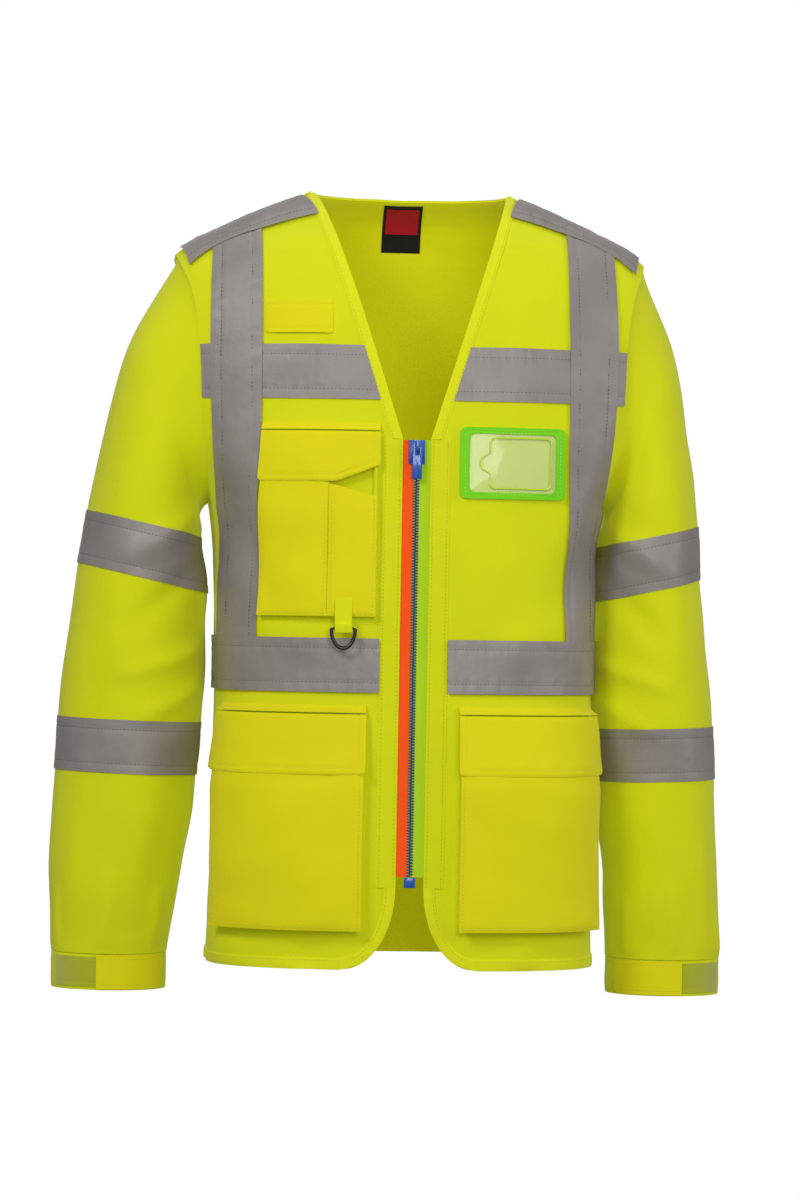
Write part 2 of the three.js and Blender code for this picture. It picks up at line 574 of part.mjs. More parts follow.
// ---------------------------------------------------------------- sleeves and cuffs
// Each row: the middle of a section (x, z), its half width and half depth, and its tilt.
const SLEEVE_ROWS = [
  [armholeTop - 17, -tipDrop - ARMHOLE_DEPTH / 2, ARMHOLE_DEPTH / 2, 74, 88],
  [armholeTop - 1, -tipDrop - 155, 97, 78, 72],
  [armholeTop + 10, -tipDrop - 226, 67, 80, 47],
  [armholeTop + 17, -tipDrop - 314, 58, 77, 18],
  [armholeTop + 24, -tipDrop - 415, 61, 74, 4],
  [armholeTop + 30, -tipDrop - 500, 60, 68, 2],
  [armholeTop + 36, -SLEEVE_END + 79, 58, 60, 0],
  [armholeTop + 38, -SLEEVE_END, CUFF_HALF_WIDTH + 0.5, CUFF_HALF_DEPTH + 2, 0],
];
const SLEEVE_COLUMNS = 20;
const SLEEVE_STEPS = 1;            // rings from one row to the next

function armholeRing(t) {
  const z = THREE.MathUtils.lerp(-tipDrop, -armholeEnd, (1 - Math.cos(t)) / 2);
  const x = armholeX(z);
  const [, half, ahead, behind, power] = bodyRowAt(z);
  const rest = Math.max(0, 1 - (x / half) ** power) ** (1 / power);
  const depth = rest * (Math.sin(t) < 0 ? ahead : behind);
  return new THREE.Vector3(x, Math.sign(Math.sin(t)) * depth, z);
}

function sleeveSection(row, t, hang) {
  const [x, z, half, depth, tilt] = SLEEVE_ROWS[row];
  const angle = THREE.MathUtils.degToRad(tilt);
  const share = Math.min(row / 3, 1);
  const wider = row < SLEEVE_ROWS.length - 1 ? hang.wider * share : 0;
  const reach = (half + wider) * Math.cos(t);
  const middleX = x + hang.out * share;
  return new THREE.Vector3(middleX + reach * Math.cos(angle), depth * Math.sin(t),
    z + reach * Math.sin(angle));
}

function sleevePoint(t, along, hang) {
  const row = THREE.MathUtils.clamp(Math.floor(along), 0, SLEEVE_ROWS.length - 2);
  const from = row === 0 ? armholeRing(t) : sleeveSection(row, t, hang);
  return from.lerp(sleeveSection(row + 1, t, hang), along - row);
}

function sleeveSurface(side, hang) {
  const last = SLEEVE_ROWS.length - 1;
  const angleOf = (i) => ((i + 0.5) / SLEEVE_COLUMNS) * 2 * Math.PI;
  const place = (t, along) => sleevePoint(t, along, hang).multiply(new THREE.Vector3(side, 1, 1));
  return {
    columns: SLEEVE_COLUMNS,
    rows: last * SLEEVE_STEPS + 1,
    pointAt: (i, j) => place(angleOf(i), j / SLEEVE_STEPS),
    normalAt: (i, j) => {
      const along = j / SLEEVE_STEPS;
      const round = place(angleOf(i) + 0.05, along).sub(place(angleOf(i) - 0.05, along));
      const down = place(angleOf(i), Math.min(along + 0.2, last))
        .sub(place(angleOf(i), Math.max(along - 0.2, 0)));
      return down.cross(round).multiplyScalar(side).normalize();
    },
  };
}

function buildSleeve(name, side) {
  const surface = sleeveSurface(side, SLEEVE_HANG[name]);
  const armholeFill = mirrored([[0, 5], [armholeTop + GAP, 5],
    ...ARMHOLE_LINE.map(([x, z]) => [x + GAP, z]),
    [BODY_HALF_WIDTH + 3 + GAP, -armholeEnd - 60], [0, -armholeEnd - 60]], side);
  const shell = layerSolid(surface, () => -FABRIC, () => 0).subtract(through(armholeFill));
  addSolid(`sleeve_${name}`, shell, 'shell');
  const tapes = layerSolid(surface, () => GAP, () => GAP + TAPE_THICK);
  const bands = [['upper', SLEEVE_UPPER_TAPE_DROP, 0.226], ['lower', SLEEVE_LOWER_TAPE_DROP, 0.03]];
  const outerX = armholeTop + 120;
  const innerX = armholeTop - 60;
  for (const [level, drop, slope] of bands) {
    const fall = (outerX - innerX) * slope;
    const tall = TAPE_WIDTH * Math.hypot(1, slope);
    const outline = [[innerX, -drop - fall], [outerX, -drop], [outerX, -drop - tall],
      [innerX, -drop - fall - tall]];
    const tape = tapes.intersect(through(mirrored(outline, side)));
    addSolid(`sleeve_tape_${level}_${name}`, tape, 'tape');
  }
}

function buildCuff(name, side) {
  const centreX = side * (SLEEVE_ROWS.at(-1)[0] + SLEEVE_HANG[name].out);
  const columns = 24;
  const top = -SLEEVE_END - GAP;
  const angleOf = (i) => ((i + 0.5) / columns) * 2 * Math.PI;
  const surface = {
    columns,
    rows: 2,
    pointAt: (i, j) => new THREE.Vector3(centreX + CUFF_HALF_WIDTH * Math.cos(angleOf(i)),
      CUFF_HALF_DEPTH * Math.sin(angleOf(i)), top - j * CUFF_HEIGHT),
    normalAt: (i) => new THREE.Vector3(Math.cos(angleOf(i)) / CUFF_HALF_WIDTH,
      Math.sin(angleOf(i)) / CUFF_HALF_DEPTH, 0).normalize(),
  };
  const ring = (inner, outer) => layerSolid(surface, () => inner, () => outer);
  const patch = (from, to, inset) => front(mirrored(
    rectangle(side * centreX + from, side * centreX + to, top - CUFF_HEIGHT + inset, top - inset), side));
  addSolid(`cuff_${name}`, ring(-FABRIC, 0.4), 'shell');
  const stripOuter = 0.7 + 0.6;
  addSolid(`cuff_loop_strip_${name}`, ring(0.7, stripOuter).intersect(patch(-5, 49, 3)), 'loop');
  const tab = ring(stripOuter + GAP, stripOuter + GAP + 1).intersect(patch(-50, 12, 1));
  addSolid(`cuff_tab_${name}`, tab, 'flap');
}

buildShell();
buildBindings();
buildBodyTapes();
buildZip();
buildLowerPockets();
buildChestPocket();
buildIdHolder();
buildMicTab();
for (const [name, side] of SIDES) {
  buildSleeve(name, side);
  buildCuff(name, side);
}

export default jacket;
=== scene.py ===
# %% [markdown]
# # A high-visibility work jacket
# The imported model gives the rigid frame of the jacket: where each panel, tape and pocket lies and
# what moves. This lesson puts the cloth on it: soft panels with folds, tapes that pucker along
# their seams, a moulded zip and clear vinyl. The frame comes first, because the edges of the zip,
# the tapes and the pockets are read from it.
# %% Load the frame
import math
from collections import namedtuple

import bmesh
import bpy
import numpy as np
from mathutils import Matrix, Vector


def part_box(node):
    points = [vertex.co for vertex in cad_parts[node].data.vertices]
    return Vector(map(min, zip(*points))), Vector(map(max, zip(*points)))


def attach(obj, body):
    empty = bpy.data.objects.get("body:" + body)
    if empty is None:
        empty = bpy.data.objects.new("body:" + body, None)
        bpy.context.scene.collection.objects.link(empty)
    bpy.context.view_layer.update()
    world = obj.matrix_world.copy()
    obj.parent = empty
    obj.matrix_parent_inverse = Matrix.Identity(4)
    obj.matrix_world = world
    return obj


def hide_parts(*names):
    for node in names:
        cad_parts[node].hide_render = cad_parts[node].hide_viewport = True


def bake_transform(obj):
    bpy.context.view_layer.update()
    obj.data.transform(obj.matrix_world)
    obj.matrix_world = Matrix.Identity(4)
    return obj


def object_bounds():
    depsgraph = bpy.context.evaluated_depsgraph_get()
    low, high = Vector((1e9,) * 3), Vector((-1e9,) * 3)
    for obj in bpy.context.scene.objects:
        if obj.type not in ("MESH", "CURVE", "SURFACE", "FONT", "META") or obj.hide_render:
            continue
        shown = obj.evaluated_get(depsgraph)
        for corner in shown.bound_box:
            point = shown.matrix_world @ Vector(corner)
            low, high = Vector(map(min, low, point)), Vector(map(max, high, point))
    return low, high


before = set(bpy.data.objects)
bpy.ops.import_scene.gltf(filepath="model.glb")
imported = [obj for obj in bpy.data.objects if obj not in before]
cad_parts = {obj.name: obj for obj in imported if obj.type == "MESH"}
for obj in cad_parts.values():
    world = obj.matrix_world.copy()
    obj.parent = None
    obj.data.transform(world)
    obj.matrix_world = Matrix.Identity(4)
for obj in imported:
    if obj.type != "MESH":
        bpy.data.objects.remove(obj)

cad_low, cad_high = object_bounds()
MM = 0.001
SIDES = (("right", -1), ("left", 1))
print("frame holds", len(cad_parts), "pieces, height", round(cad_high.z - cad_low.z, 3), "m")

# %% [markdown]
# ## Sizes
# A garment maker's pattern is a handful of lengths. The ones that a box of the frame can tell are
# read from it. The others, such as the width of a binding or the sections of the body further
# down, are written out in millimetres, and have to be changed by hand if the frame changes.
# %% Sizes from the frame
hem_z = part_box("back_panel")[0].z
v_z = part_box("zip_tape_left")[1].z
zip_end_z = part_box("zip_bottom_box")[0].z
zip_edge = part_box("front_placket_left")[0].x
placket_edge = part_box("front_placket_left")[1].x
tip_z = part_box("sleeve_left")[1].z
armhole_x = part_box("back_panel")[1].x
binding_width = 10 * MM
neck_half = 95 * MM
v_top_x = neck_half - 3 * MM
tape_width = 50 * MM
armhole_end_z = tip_z - 230 * MM
hem_corner_x = 62 * MM
print("neck to hem", round(-hem_z, 3), "m, zip", round(v_z - zip_end_z, 3), "m")

# %% [markdown]
# ## The body as a surface
# A worn jacket is nearly a stack of rounded rectangles: narrow at the neck, broad at the
# shoulders, flat across the chest. Each row below is one such section. A superellipse in polar
# form gives the outline, and a smooth curve through the rows gives every height between them.
# Panels, tapes and pockets are all drawn on this one surface, so they lie on each other as
# sewn layers do.
# %% Sections of the body
# height, half width, depth in front, depth behind (mm), and how square the section is
BODY_ROWS = np.array([
    (12, 88, 14, 66, 2.2), (0, 95, 24, 75, 2.2), (-11, 120, 46, 89, 2.2), (-22, 146, 62, 100, 2.2),
    (-37, 178, 76, 108, 2.2), (-51, 206, 87, 113, 2.3), (-66, 226, 95, 116, 2.4),
    (-86, 238, 103, 119, 2.5), (-116, 242, 113, 122, 2.6), (-158, 238, 122, 124, 2.7),
    (-201, 228, 127, 125, 2.8), (-238, 213, 130, 123, 2.9), (-266, 198, 130, 120, 3),
    (-296, 187, 130, 116, 3), (-356, 181, 130, 106, 3), (-442, 178, 130, 96, 3),
    (-564, 179, 130, 100, 3), (-728, 182, 130, 106, 3), (-760, 183, 130, 107, 3),
])[::-1]


def smooth_curve(x, xs, ys):
    """Values of a smooth curve through points, with no overshoot between them."""
    steps = np.diff(xs)
    slopes = np.diff(ys) / steps
    tangent = np.zeros(len(xs))
    same_way = slopes[:-1] * slopes[1:] > 0
    middle = 2 * slopes[:-1] * slopes[1:] / np.where(same_way, slopes[:-1] + slopes[1:], 1)
    tangent[1:-1] = np.where(same_way, middle, 0)
    tangent[0] = slopes[0]
    tangent[-1] = slopes[-1]
    k = np.clip(np.searchsorted(xs, x) - 1, 0, len(steps) - 1)
    t = np.clip((x - xs[k]) / steps[k], 0, 1)
    start = (1 + 2 * t) * (1 - t) ** 2 * ys[k] + t * (1 - t) ** 2 * steps[k] * tangent[k]
    end = t * t * (3 - 2 * t) * ys[k + 1] + t * t * (t - 1) * steps[k] * tangent[k + 1]
    return start + end


def body_section(z):
    heights = BODY_ROWS[:, 0] * MM
    sizes = [smooth_curve(z, heights, BODY_ROWS[:, n] * MM) for n in (1, 2, 3)]
    return (*sizes, smooth_curve(z, heights, BODY_ROWS[:, 4]))


def body_point(angle, z):
    """A point of the bare body surface. Angle -90 degrees is the front, 0 the wearer's left."""
    half, ahead, behind, power = body_section(z)
    cos, sin = np.cos(angle), np.sin(angle)
    depth = np.where(sin < 0, ahead, behind)
    reach = (np.abs(cos / half) ** power + np.abs(sin / depth) ** power) ** (-1 / power)
    return np.stack([reach * cos, reach * sin, z + 0 * angle], axis=-1)


def body_normal(angle, z):
    turn, rise = 0.01, 3 * MM
    around = body_point(angle + turn, z) - body_point(angle - turn, z)
    up = body_point(angle, z + rise) - body_point(angle, z - rise)
    normal = np.cross(around, up)
    return normal / np.linalg.norm(normal, axis=-1, keepdims=True)


def front_angle(x, z):
    """The angle at which the front of the body stands at x."""
    half, ahead, _, power = body_section(z + 0 * x)
    share = np.clip(np.abs(x) / half, 0, 1)
    angle = np.arctan2(-ahead * (1 - share ** power) ** (1 / power), share * half)
    return np.where(x >= 0, angle, -math.pi - angle)


# x and height of points down the armhole, mm
ARMHOLE = np.array([(222, -66), (208, -101), (200, -151), (197, -206), (187, -296)])[::-1] * MM


def armhole_at(z):
    return smooth_curve(z, ARMHOLE[:, 1], ARMHOLE[:, 0])


def armhole_angle(z):
    """Where a panel stops at the side: the shoulder seam, the armhole or the side seam."""
    return np.where(z > armhole_end_z, front_angle(armhole_at(z), z), 0)

# %% [markdown]
# ## Folds
# Cloth folds where it is pulled: from the shoulder points, under the arms and over the pockets.
# Each fold here is a line with a width and a height, drawn as a soft ridge, and a slow noise
# breaks up the rest. All the layers read the same field, so a tape folds with its panel.
# %% Fold field
# from (x, z) to (x, z), width and height of the ridge, all mm; the front faces the viewer
FRONT_FOLDS = (
    (-186, -230, -120, -330, 22, 3.0), (186, -240, 128, -350, 22, 3.2),
    (-176, -300, -110, -420, 16, -2.2), (176, -310, 118, -430, 18, -2.4),
    (-60, -70, -120, -190, 26, 1.6), (62, -80, 118, -215, 28, 1.8),
    (-36, -430, -30, -690, 12, 2.0), (37, -420, 30, -700, 12, 2.2),
    (30, -300, 60, -420, 20, 1.8), (-150, -395, -80, -440, 16, 1.6),
    (150, -390, 70, -450, 18, 1.8), (-170, -690, -165, -730, 16, 3.0),
    (100, -700, 108, -730, 14, 2.4), (-90, -700, -98, -730, 16, -2.0),
)
BACK_FOLDS = (
    (-186, -240, -70, -300, 24, 3.5), (186, -235, 76, -310, 24, 3.5),
    (-150, -330, -60, -400, 22, -2.4), (150, -320, 66, -395, 22, -2.6),
    (-90, -420, -96, -700, 24, 3.2), (84, -430, 100, -710, 26, 3.4), (0, -60, 0, -230, 40, 1.6),
    (-20, -500, -10, -710, 20, -2.2), (150, -500, 146, -715, 18, 2.6),
    (-150, -480, -140, -710, 18, 2.4),
)

DEPTH = 1.35                # how much deeper the folds are drawn than listed
BODY_ROUND = 0.16           # metres of cloth for a radian round the body
TURN_IN = 40 * MM           # depth over which a fold fades in from the side line
SEAM_REACH = 25 * MM        # how far a seam holds the cloth beside it flat


def ridge(x, z, fold):
    x0, z0, x1, z1, width, height = (value * MM for value in fold)
    length = math.hypot(x1 - x0, z1 - z0)
    along = ((x - x0) * (x1 - x0) + (z - z0) * (z1 - z0)) / length
    across = ((x - x0) * (z1 - z0) - (z - z0) * (x1 - x0)) / length
    fade = np.clip(along / length, 0, 1)
    ends = np.sin(math.pi * fade) ** 0.8
    return height * ends * np.exp(-(across / width) ** 2)


def waves(a, b, seed, scale):
    """A slow smooth noise made of a few crossed waves, from -1 to 1."""
    total = 0
    for k in range(6):
        heading = seed * 1.7 + k * 2.399
        pitch = (0.6 + 0.31 * k) / scale
        total = total + np.sin((a * math.cos(heading) + b * math.sin(heading)) * pitch * 6.283
                               + seed + k * 1.3) / (1 + 0.55 * k)
    return total / 2.4


def body_folds(angle, z):
    point = body_point(angle, z)
    x = point[..., 0]
    front = np.clip(-point[..., 1] / TURN_IN, 0, 1)
    back = np.clip(point[..., 1] / TURN_IN, 0, 1)
    lift = front * DEPTH * sum(ridge(x, z, fold) for fold in FRONT_FOLDS)
    lift = lift + back * DEPTH * sum(ridge(x, z, fold) for fold in BACK_FOLDS)
    lift = lift + 1.2 * MM * waves(angle * BODY_ROUND, z, 3, 0.14)
    calm = np.clip((np.abs(x) - 12 * MM) / SEAM_REACH, 0, 1)    # the zip keeps the middle flat
    sewn = (z < tip_z) & (z > armhole_end_z)                    # and the armhole seam its edge
    seam = np.clip((armhole_at(z) - np.abs(x)) / SEAM_REACH, 0, 1)
    return lift * np.where(point[..., 1] < 0, calm, 1) * np.where(sewn, seam, 1)


def on_body(angle, z, lift):
    """A point that stands off the body by lift, with the folds of the cloth under it."""
    height = body_folds(angle, z) + lift
    return body_point(angle, z) + body_normal(angle, z) * height[..., None]

# %% [markdown]
# ## Cloth as thick sheets
# A sheet of cloth is a grid with two faces a millimetre or so apart and a closed rim. Building
# both faces at once keeps the edge crisp and the piece closed, which a single face with a
# thickness modifier can't do on tight curves. The grid's own lengths become its UV map, in
# metres, so that a weave follows the piece.
# %% Sheet builder
def link(obj):
    bpy.context.scene.collection.objects.link(obj)
    return obj


def cloth_mesh(name, outer, inner, ring=False):
    """A closed mesh from two grids of points (rows, columns, 3). ring joins the columns' ends."""
    rows, columns = outer.shape[:2]
    bm = bmesh.new()
    verts = [[bm.verts.new(p) for p in grid.reshape(-1, 3)] for grid in (outer, inner)]
    uv = bm.loops.layers.uv.new("cloth")
    across = np.linalg.norm(np.diff(outer, axis=1), axis=-1)
    down = np.linalg.norm(np.diff(outer, axis=0), axis=-1)
    u = np.concatenate([np.zeros((rows, 1)), np.cumsum(across, axis=1)], axis=1)
    u = u - u[:, columns // 2:columns // 2 + 1]
    v = np.concatenate([np.zeros((1, columns)), np.cumsum(down, axis=0)], axis=0)
    last = columns if ring else columns - 1
    wrap = np.linalg.norm(outer[:, 0] - outer[:, -1], axis=-1)

    def add(corners):
        face = bm.faces.new([verts[side][j * columns + i % columns] for side, j, i in corners])
        face.smooth = True
        for loop, (_, j, i) in zip(face.loops, corners):
            extra = wrap[j] if i == columns else 0
            loop[uv].uv = (u[j, min(i, columns - 1)] + extra, v[j, i % columns])
        return face

    for j in range(rows - 1):
        for i in range(last):
            add([(0, j, i), (0, j + 1, i), (0, j + 1, i + 1), (0, j, i + 1)])
            add([(1, j, i), (1, j, i + 1), (1, j + 1, i + 1), (1, j + 1, i)])
    rims = []
    low, end = rows - 1, columns - 1
    for i in range(last):
        rims.append(add([(0, 0, i), (0, 0, i + 1), (1, 0, i + 1), (1, 0, i)]))
        rims.append(add([(0, low, i), (1, low, i), (1, low, i + 1), (0, low, i + 1)]))
    if not ring:
        for j in range(rows - 1):
            rims.append(add([(0, j, 0), (1, j, 0), (1, j + 1, 0), (0, j + 1, 0)]))
            rims.append(add([(0, j, end), (0, j + 1, end), (1, j + 1, end), (1, j, end)]))
    bmesh.ops.recalc_face_normals(bm, faces=bm.faces)
    if not ring:
        bm.normal_update()
    for edge in {e for face in rims for e in face.edges}:
        edge.smooth = len(edge.link_faces) != 2 or edge.calc_face_angle(0) < 1.0
    mesh = bpy.data.meshes.new(name)
    bm.to_mesh(mesh)
    bm.free()
    return mesh


def finish_piece(name, mesh, material, slot, body, nodes=()):
    """Dress a mesh, give it to its body's empty (a sleeve's pieces stay loose), and hide the
    frame's nodes that it stands for; slot is not used.
    """
    obj = link(bpy.data.objects.new(name, mesh))
    obj.data.materials.append(material)
    if body.startswith("sleeve"):
        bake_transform(obj)
    else:
        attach(obj, body)
    if nodes:
        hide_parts(*nodes)
    return obj


def body_sheet(name, start, end, rows, columns, lift, thick, *dress):
    """A sheet on the body between two side lines, given as functions from height to angle.

    rows are its heights. lift gives how far its outer face stands off the body, and dress is
    what finish_piece needs."""
    z = rows[:, None]
    share = np.linspace(0, 1, columns)[None, :]
    first, final = start(z), end(z)
    angle = first + (final - first) * share
    heights = z + 0 * angle
    down = np.linspace(0, 1, z.shape[0])[:, None] + 0 * share
    stand = lift(share + 0 * z, down, angle, heights) if callable(lift) else lift
    stand = stand + 0 * angle
    outer = on_body(angle, heights, stand)
    inner = on_body(angle, heights, stand - thick)
    obj = finish_piece(name, cloth_mesh(name, outer, inner), *dress)

# %% [markdown]
# ## Materials
# Every finish is a small node tree. Colours are written as the sRGB hex values a maker would
# quote and turned to linear by one function. One helper adds a node with its settings and
# links, so that a tree reads as a list of what it holds.
# %% Material helpers
def colour(code):
    """Linear RGBA from an sRGB hex code."""
    parts = [int(code[k:k + 2], 16) / 255 for k in (1, 3, 5)]
    linear = [c / 12.92 if c <= 0.04045 else ((c + 0.055) / 1.055) ** 2.4 for c in parts]
    return (*linear, 1)


def add_node(tree, kind, settings=None, links=None):
    """A new node; settings fill its properties or inputs, links maps an input to an output."""
    node = tree.nodes.new(kind)
    for key, value in (settings or {}).items():
        if isinstance(key, str) and hasattr(node, key):
            setattr(node, key, value)
        else:
            node.inputs[key].default_value = value
    for key, output in (links or {}).items():
        tree.links.new(output, node.inputs[key])
    return node


def new_material(name, roughness, **sockets):
    """A material with a Principled shader; returns the material, its tree and the shader."""
    material = bpy.data.materials.new(name)
    material.use_nodes = True
    tree = material.node_tree
    shader = tree.nodes["Principled BSDF"]
    shader.inputs["Roughness"].default_value = roughness
    for key, value in sockets.items():
        shader.inputs[key.replace("_", " ")].default_value = value
    return material, tree, shader


def mixed(tree, low, high, factor):
    """A colour between two hex codes by a factor output."""
    node = add_node(tree, "ShaderNodeMix", {"data_type": "RGBA"})
    node.inputs[6].default_value = colour(low)
    node.inputs[7].default_value = colour(high)
    tree.links.new(factor, node.inputs[0])
    return node.outputs[2]

# %% [markdown]
# ### Woven polyester
# The shell is a fluorescent polyester twill: a matt cloth with fine diagonal ribs and a slight
# sheen. Two crossed wave textures on the cloth's own UV map, in metres, make warp and weft. The
# real rib is 0.4 mm, too fine to show, so it is drawn at about 1.1 mm.
# %% Fabric
RIB = 1.1 * MM
WAVE_PITCH = 0.314          # metres from band to band of a Wave texture at scale 1


def woven(name, base, shade, rib=RIB, strength=0.35, sheen=0.12, painted_glow=0.0):
    """A weave; the last argument is an emission in the base colour: painted light that brightens
    the cloth where it lies in shade.
    """
    material, tree, shader = new_material(name, 0.78, Sheen_Weight=sheen, Sheen_Roughness=0.45,
                                          IOR=1.5, Emission_Strength=painted_glow)
    # emission in the cloth's own colour: painted light that lifts its shade
    shader.inputs["Emission Color"].default_value = colour(base)
    shader.inputs["Specular IOR Level"].default_value = 0.25
    cloth = add_node(tree, "ShaderNodeUVMap", {"uv_map": "cloth"}).outputs[0]
    bands = []
    for turn in (0.62, -0.95):
        turned = add_node(tree, "ShaderNodeMapping", {"Rotation": (0, 0, turn)}, {"Vector": cloth})
        wave = add_node(tree, "ShaderNodeTexWave", {"Scale": WAVE_PITCH / rib, "Distortion": 0.6,
                        "Detail": 1.0}, {"Vector": turned.outputs[0]})
        bands.append(wave.outputs["Fac"])
    weave = add_node(tree, "ShaderNodeMath", {"operation": "MULTIPLY"}, dict(enumerate(bands)))
    place = add_node(tree, "ShaderNodeTexCoord").outputs["Object"]
    cloud = add_node(tree, "ShaderNodeTexNoise", {"Scale": 9.0, "Detail": 4.0}, {"Vector": place})
    tone = add_node(tree, "ShaderNodeMath", {"operation": "MULTIPLY_ADD", 1: 0.45},
                    {0: weave.outputs[0], 2: cloud.outputs["Fac"]})
    tree.links.new(mixed(tree, shade, base, tone.outputs[0]), shader.inputs["Base Color"])
    crumple = add_node(tree, "ShaderNodeTexNoise", {"Scale": 70.0, "Detail": 5.0},
                       {"Vector": place})
    soft = add_node(tree, "ShaderNodeBump", {"Strength": 0.25, "Distance": 1.2 * MM},
                    {"Height": crumple.outputs["Fac"]})
    bump = add_node(tree, "ShaderNodeBump", {"Strength": strength, "Distance": 0.25 * MM},
                    {"Height": weave.outputs[0], "Normal": soft.outputs[0]})
    tree.links.new(bump.outputs[0], shader.inputs["Normal"])
    return material


# the glow values are painted light from the cloth itself; the back's is strongest, for its inside,
# which the lamps hardly reach
shell_cloth = woven("fluorescent polyester twill", "#DCE200", "#CED600", painted_glow=0.07)
back_cloth = woven("fluorescent polyester knit", "#DEDE06", "#CACA00", 1.6 * MM, 0.6, painted_glow=0.17)
flap_cloth = woven("bright polyester plain weave", "#EAE200", "#DCD400", painted_glow=0.04)
binding_cloth = woven("polyester bias binding", "#E6EA10", "#D8DE00", 0.9 * MM, painted_glow=0.05)
loop_pile = woven("brushed loop pile", "#C6CC14", "#A9B000", 0.8 * MM, 0.9, 0.8)
print("cloths:", len(bpy.data.materials))

# %% [markdown]
# ### Retroreflective tape
# The tape is a grey cloth covered with glass beads a twentieth of a millimetre across. In even
# light it reads as a warm grey satin. The grain is drawn at 0.9 mm, coarser than real, so that it
# shows, and a soft crumple stands for the creases of a tape that has been folded.
# %% Tape
BEAD_GRAIN = 0.9 * MM


def bead_tape():
    material, tree, shader = new_material("glass-bead retroreflective tape", 0.5, Metallic=0.12,
                                          IOR=1.45)
    cloth = add_node(tree, "ShaderNodeUVMap", {"uv_map": "cloth"}).outputs[0]
    beads = add_node(tree, "ShaderNodeTexVoronoi", {"Scale": 1 / BEAD_GRAIN}, {"Vector": cloth})
    place = add_node(tree, "ShaderNodeTexCoord").outputs["Object"]
    cloud = add_node(tree, "ShaderNodeTexNoise", {"Scale": 26.0, "Detail": 5.0}, {"Vector": place})
    tree.links.new(mixed(tree, "#857E7A", "#A39C97", cloud.outputs["Fac"]),
                   shader.inputs["Base Color"])
    crumple = add_node(tree, "ShaderNodeTexNoise", {"Scale": 120.0, "Detail": 4.0},
                       {"Vector": place})
    soft = add_node(tree, "ShaderNodeBump", {"Strength": 0.45, "Distance": 1.0 * MM},
                    {"Height": crumple.outputs["Fac"]})
    bump = add_node(tree, "ShaderNodeBump", {"Strength": 0.2, "Distance": 0.12 * MM},
                    {"Height": beads.outputs["Distance"], "Normal": soft.outputs[0]})
    tree.links.new(bump.outputs[0], shader.inputs["Normal"])
    return material


tape_silver = bead_tape()

# %% [markdown]
# ## Front and back panels
# The two fronts meet at the zip, open into a V above it and curve away into the hem below. The
# side lines of each sheet are written as angles that change with height, so one grid makes the
# V, the straight front and the rounded corner.
# %% Panels
FABRIC = 1.6 * MM


def front_edge_x(z, inset=0.0):
    """x of a front's inner edge: the V, the zip, then the rounded corner of the hem."""
    v_share = np.clip(z / v_z, 0, 1)
    v_line = v_top_x + (zip_edge - v_top_x) * v_share ** 0.94
    drop = np.clip((zip_end_z - z) / (zip_end_z - hem_z - inset), 0, 1)
    corner = hem_corner_x - (hem_corner_x - zip_edge - inset) * np.sqrt(1 - drop ** 2)
    straight = zip_edge + inset + 0 * z
    return np.where(z > v_z, v_line + inset, np.where(z > zip_end_z, straight, corner))


def row_heights(top, bottom, step, *stops):
    """Heights from top to bottom about a step apart, with a row at each stop."""
    marks = [top, *[s for s in stops if bottom < s < top], bottom]
    rows = []
    for high, low in zip(marks, marks[1:]):
        count = max(2, round((high - low) / step) + 1)
        rows += list(np.linspace(high, low, count)[:-1])
    return np.array([*rows, bottom])


# the rows lie closer at the shoulder, where the body's sections change fastest
panel_rows = np.concatenate([
    row_heights(0.0, tip_z - 6 * MM, 1.8 * MM, tip_z)[:-1],
    row_heights(tip_z - 6 * MM, hem_z, 5 * MM, v_z, armhole_end_z, zip_end_z, hem_z + 12 * MM,
                hem_z + 4 * MM, hem_z + 1 * MM)])


def side_angle(side, angle):
    """Mirror an angle of the wearer's left to the other side."""
    return angle if side > 0 else -math.pi - angle


for name, side in SIDES:
    body_sheet(f"front_panel_cloth_{name}",
               lambda z, side=side: side_angle(side, front_angle(front_edge_x(z), z)),
               lambda z, side=side: side_angle(side, -np.abs(armhole_angle(z))),
               panel_rows, 64, 0.0, FABRIC, shell_cloth, "shell_fabric", "torso",
               [f"front_panel_{name}"])


def back_edge(z):
    """The back's side line on the wearer's left, where the back meets the front or the sleeve."""
    front = armhole_angle(z)
    half, ahead, behind, power = body_section(z)
    x = np.minimum(armhole_at(z), half * 0.9999)
    y = behind * (1 - (x / half) ** power) ** (1 / power)
    return np.where(front < 0, np.arctan2(y, x), 0)


body_sheet("back_panel_cloth", back_edge, lambda z: math.pi - back_edge(z), panel_rows, 128, 0.0,
           FABRIC, back_cloth, "shell_fabric", "torso", ["back_panel"])
print("panels done")

# %% [markdown]
# ## Bindings, plackets and hem
# Narrow strips cover the raw edges. They lie one layer above the panels and dip a little at
# their stitch line. Each strip is the same builder with its own side lines.
# %% Edge strips
TRIM = 0.9 * MM
RISE = 0.4 * MM                      # one layer above the cloth below


def crowned(drop):
    """The lift of a level strip: proud in its middle and lower by drop at both edges."""
    return lambda s, d, angle, z: RISE + TRIM - drop * (2 * d - 1) ** 4


def puckered(pitch, height, seed):
    """The lift of an upright strip that ripples, as cloth does when the thread pulls it in."""
    def lift(s, d, angle, z):
        ripple = waves(z, s * 4 * MM, seed, pitch) + 0.6 * np.sin(z / (1.9 * MM) + seed)
        edges = np.abs(2 * s - 1)
        crown = RISE + TRIM - 0.45 * MM * (2 * s - 1) ** 4
        return crown + height * ripple * (0.35 + 0.65 * edges)
    return lift


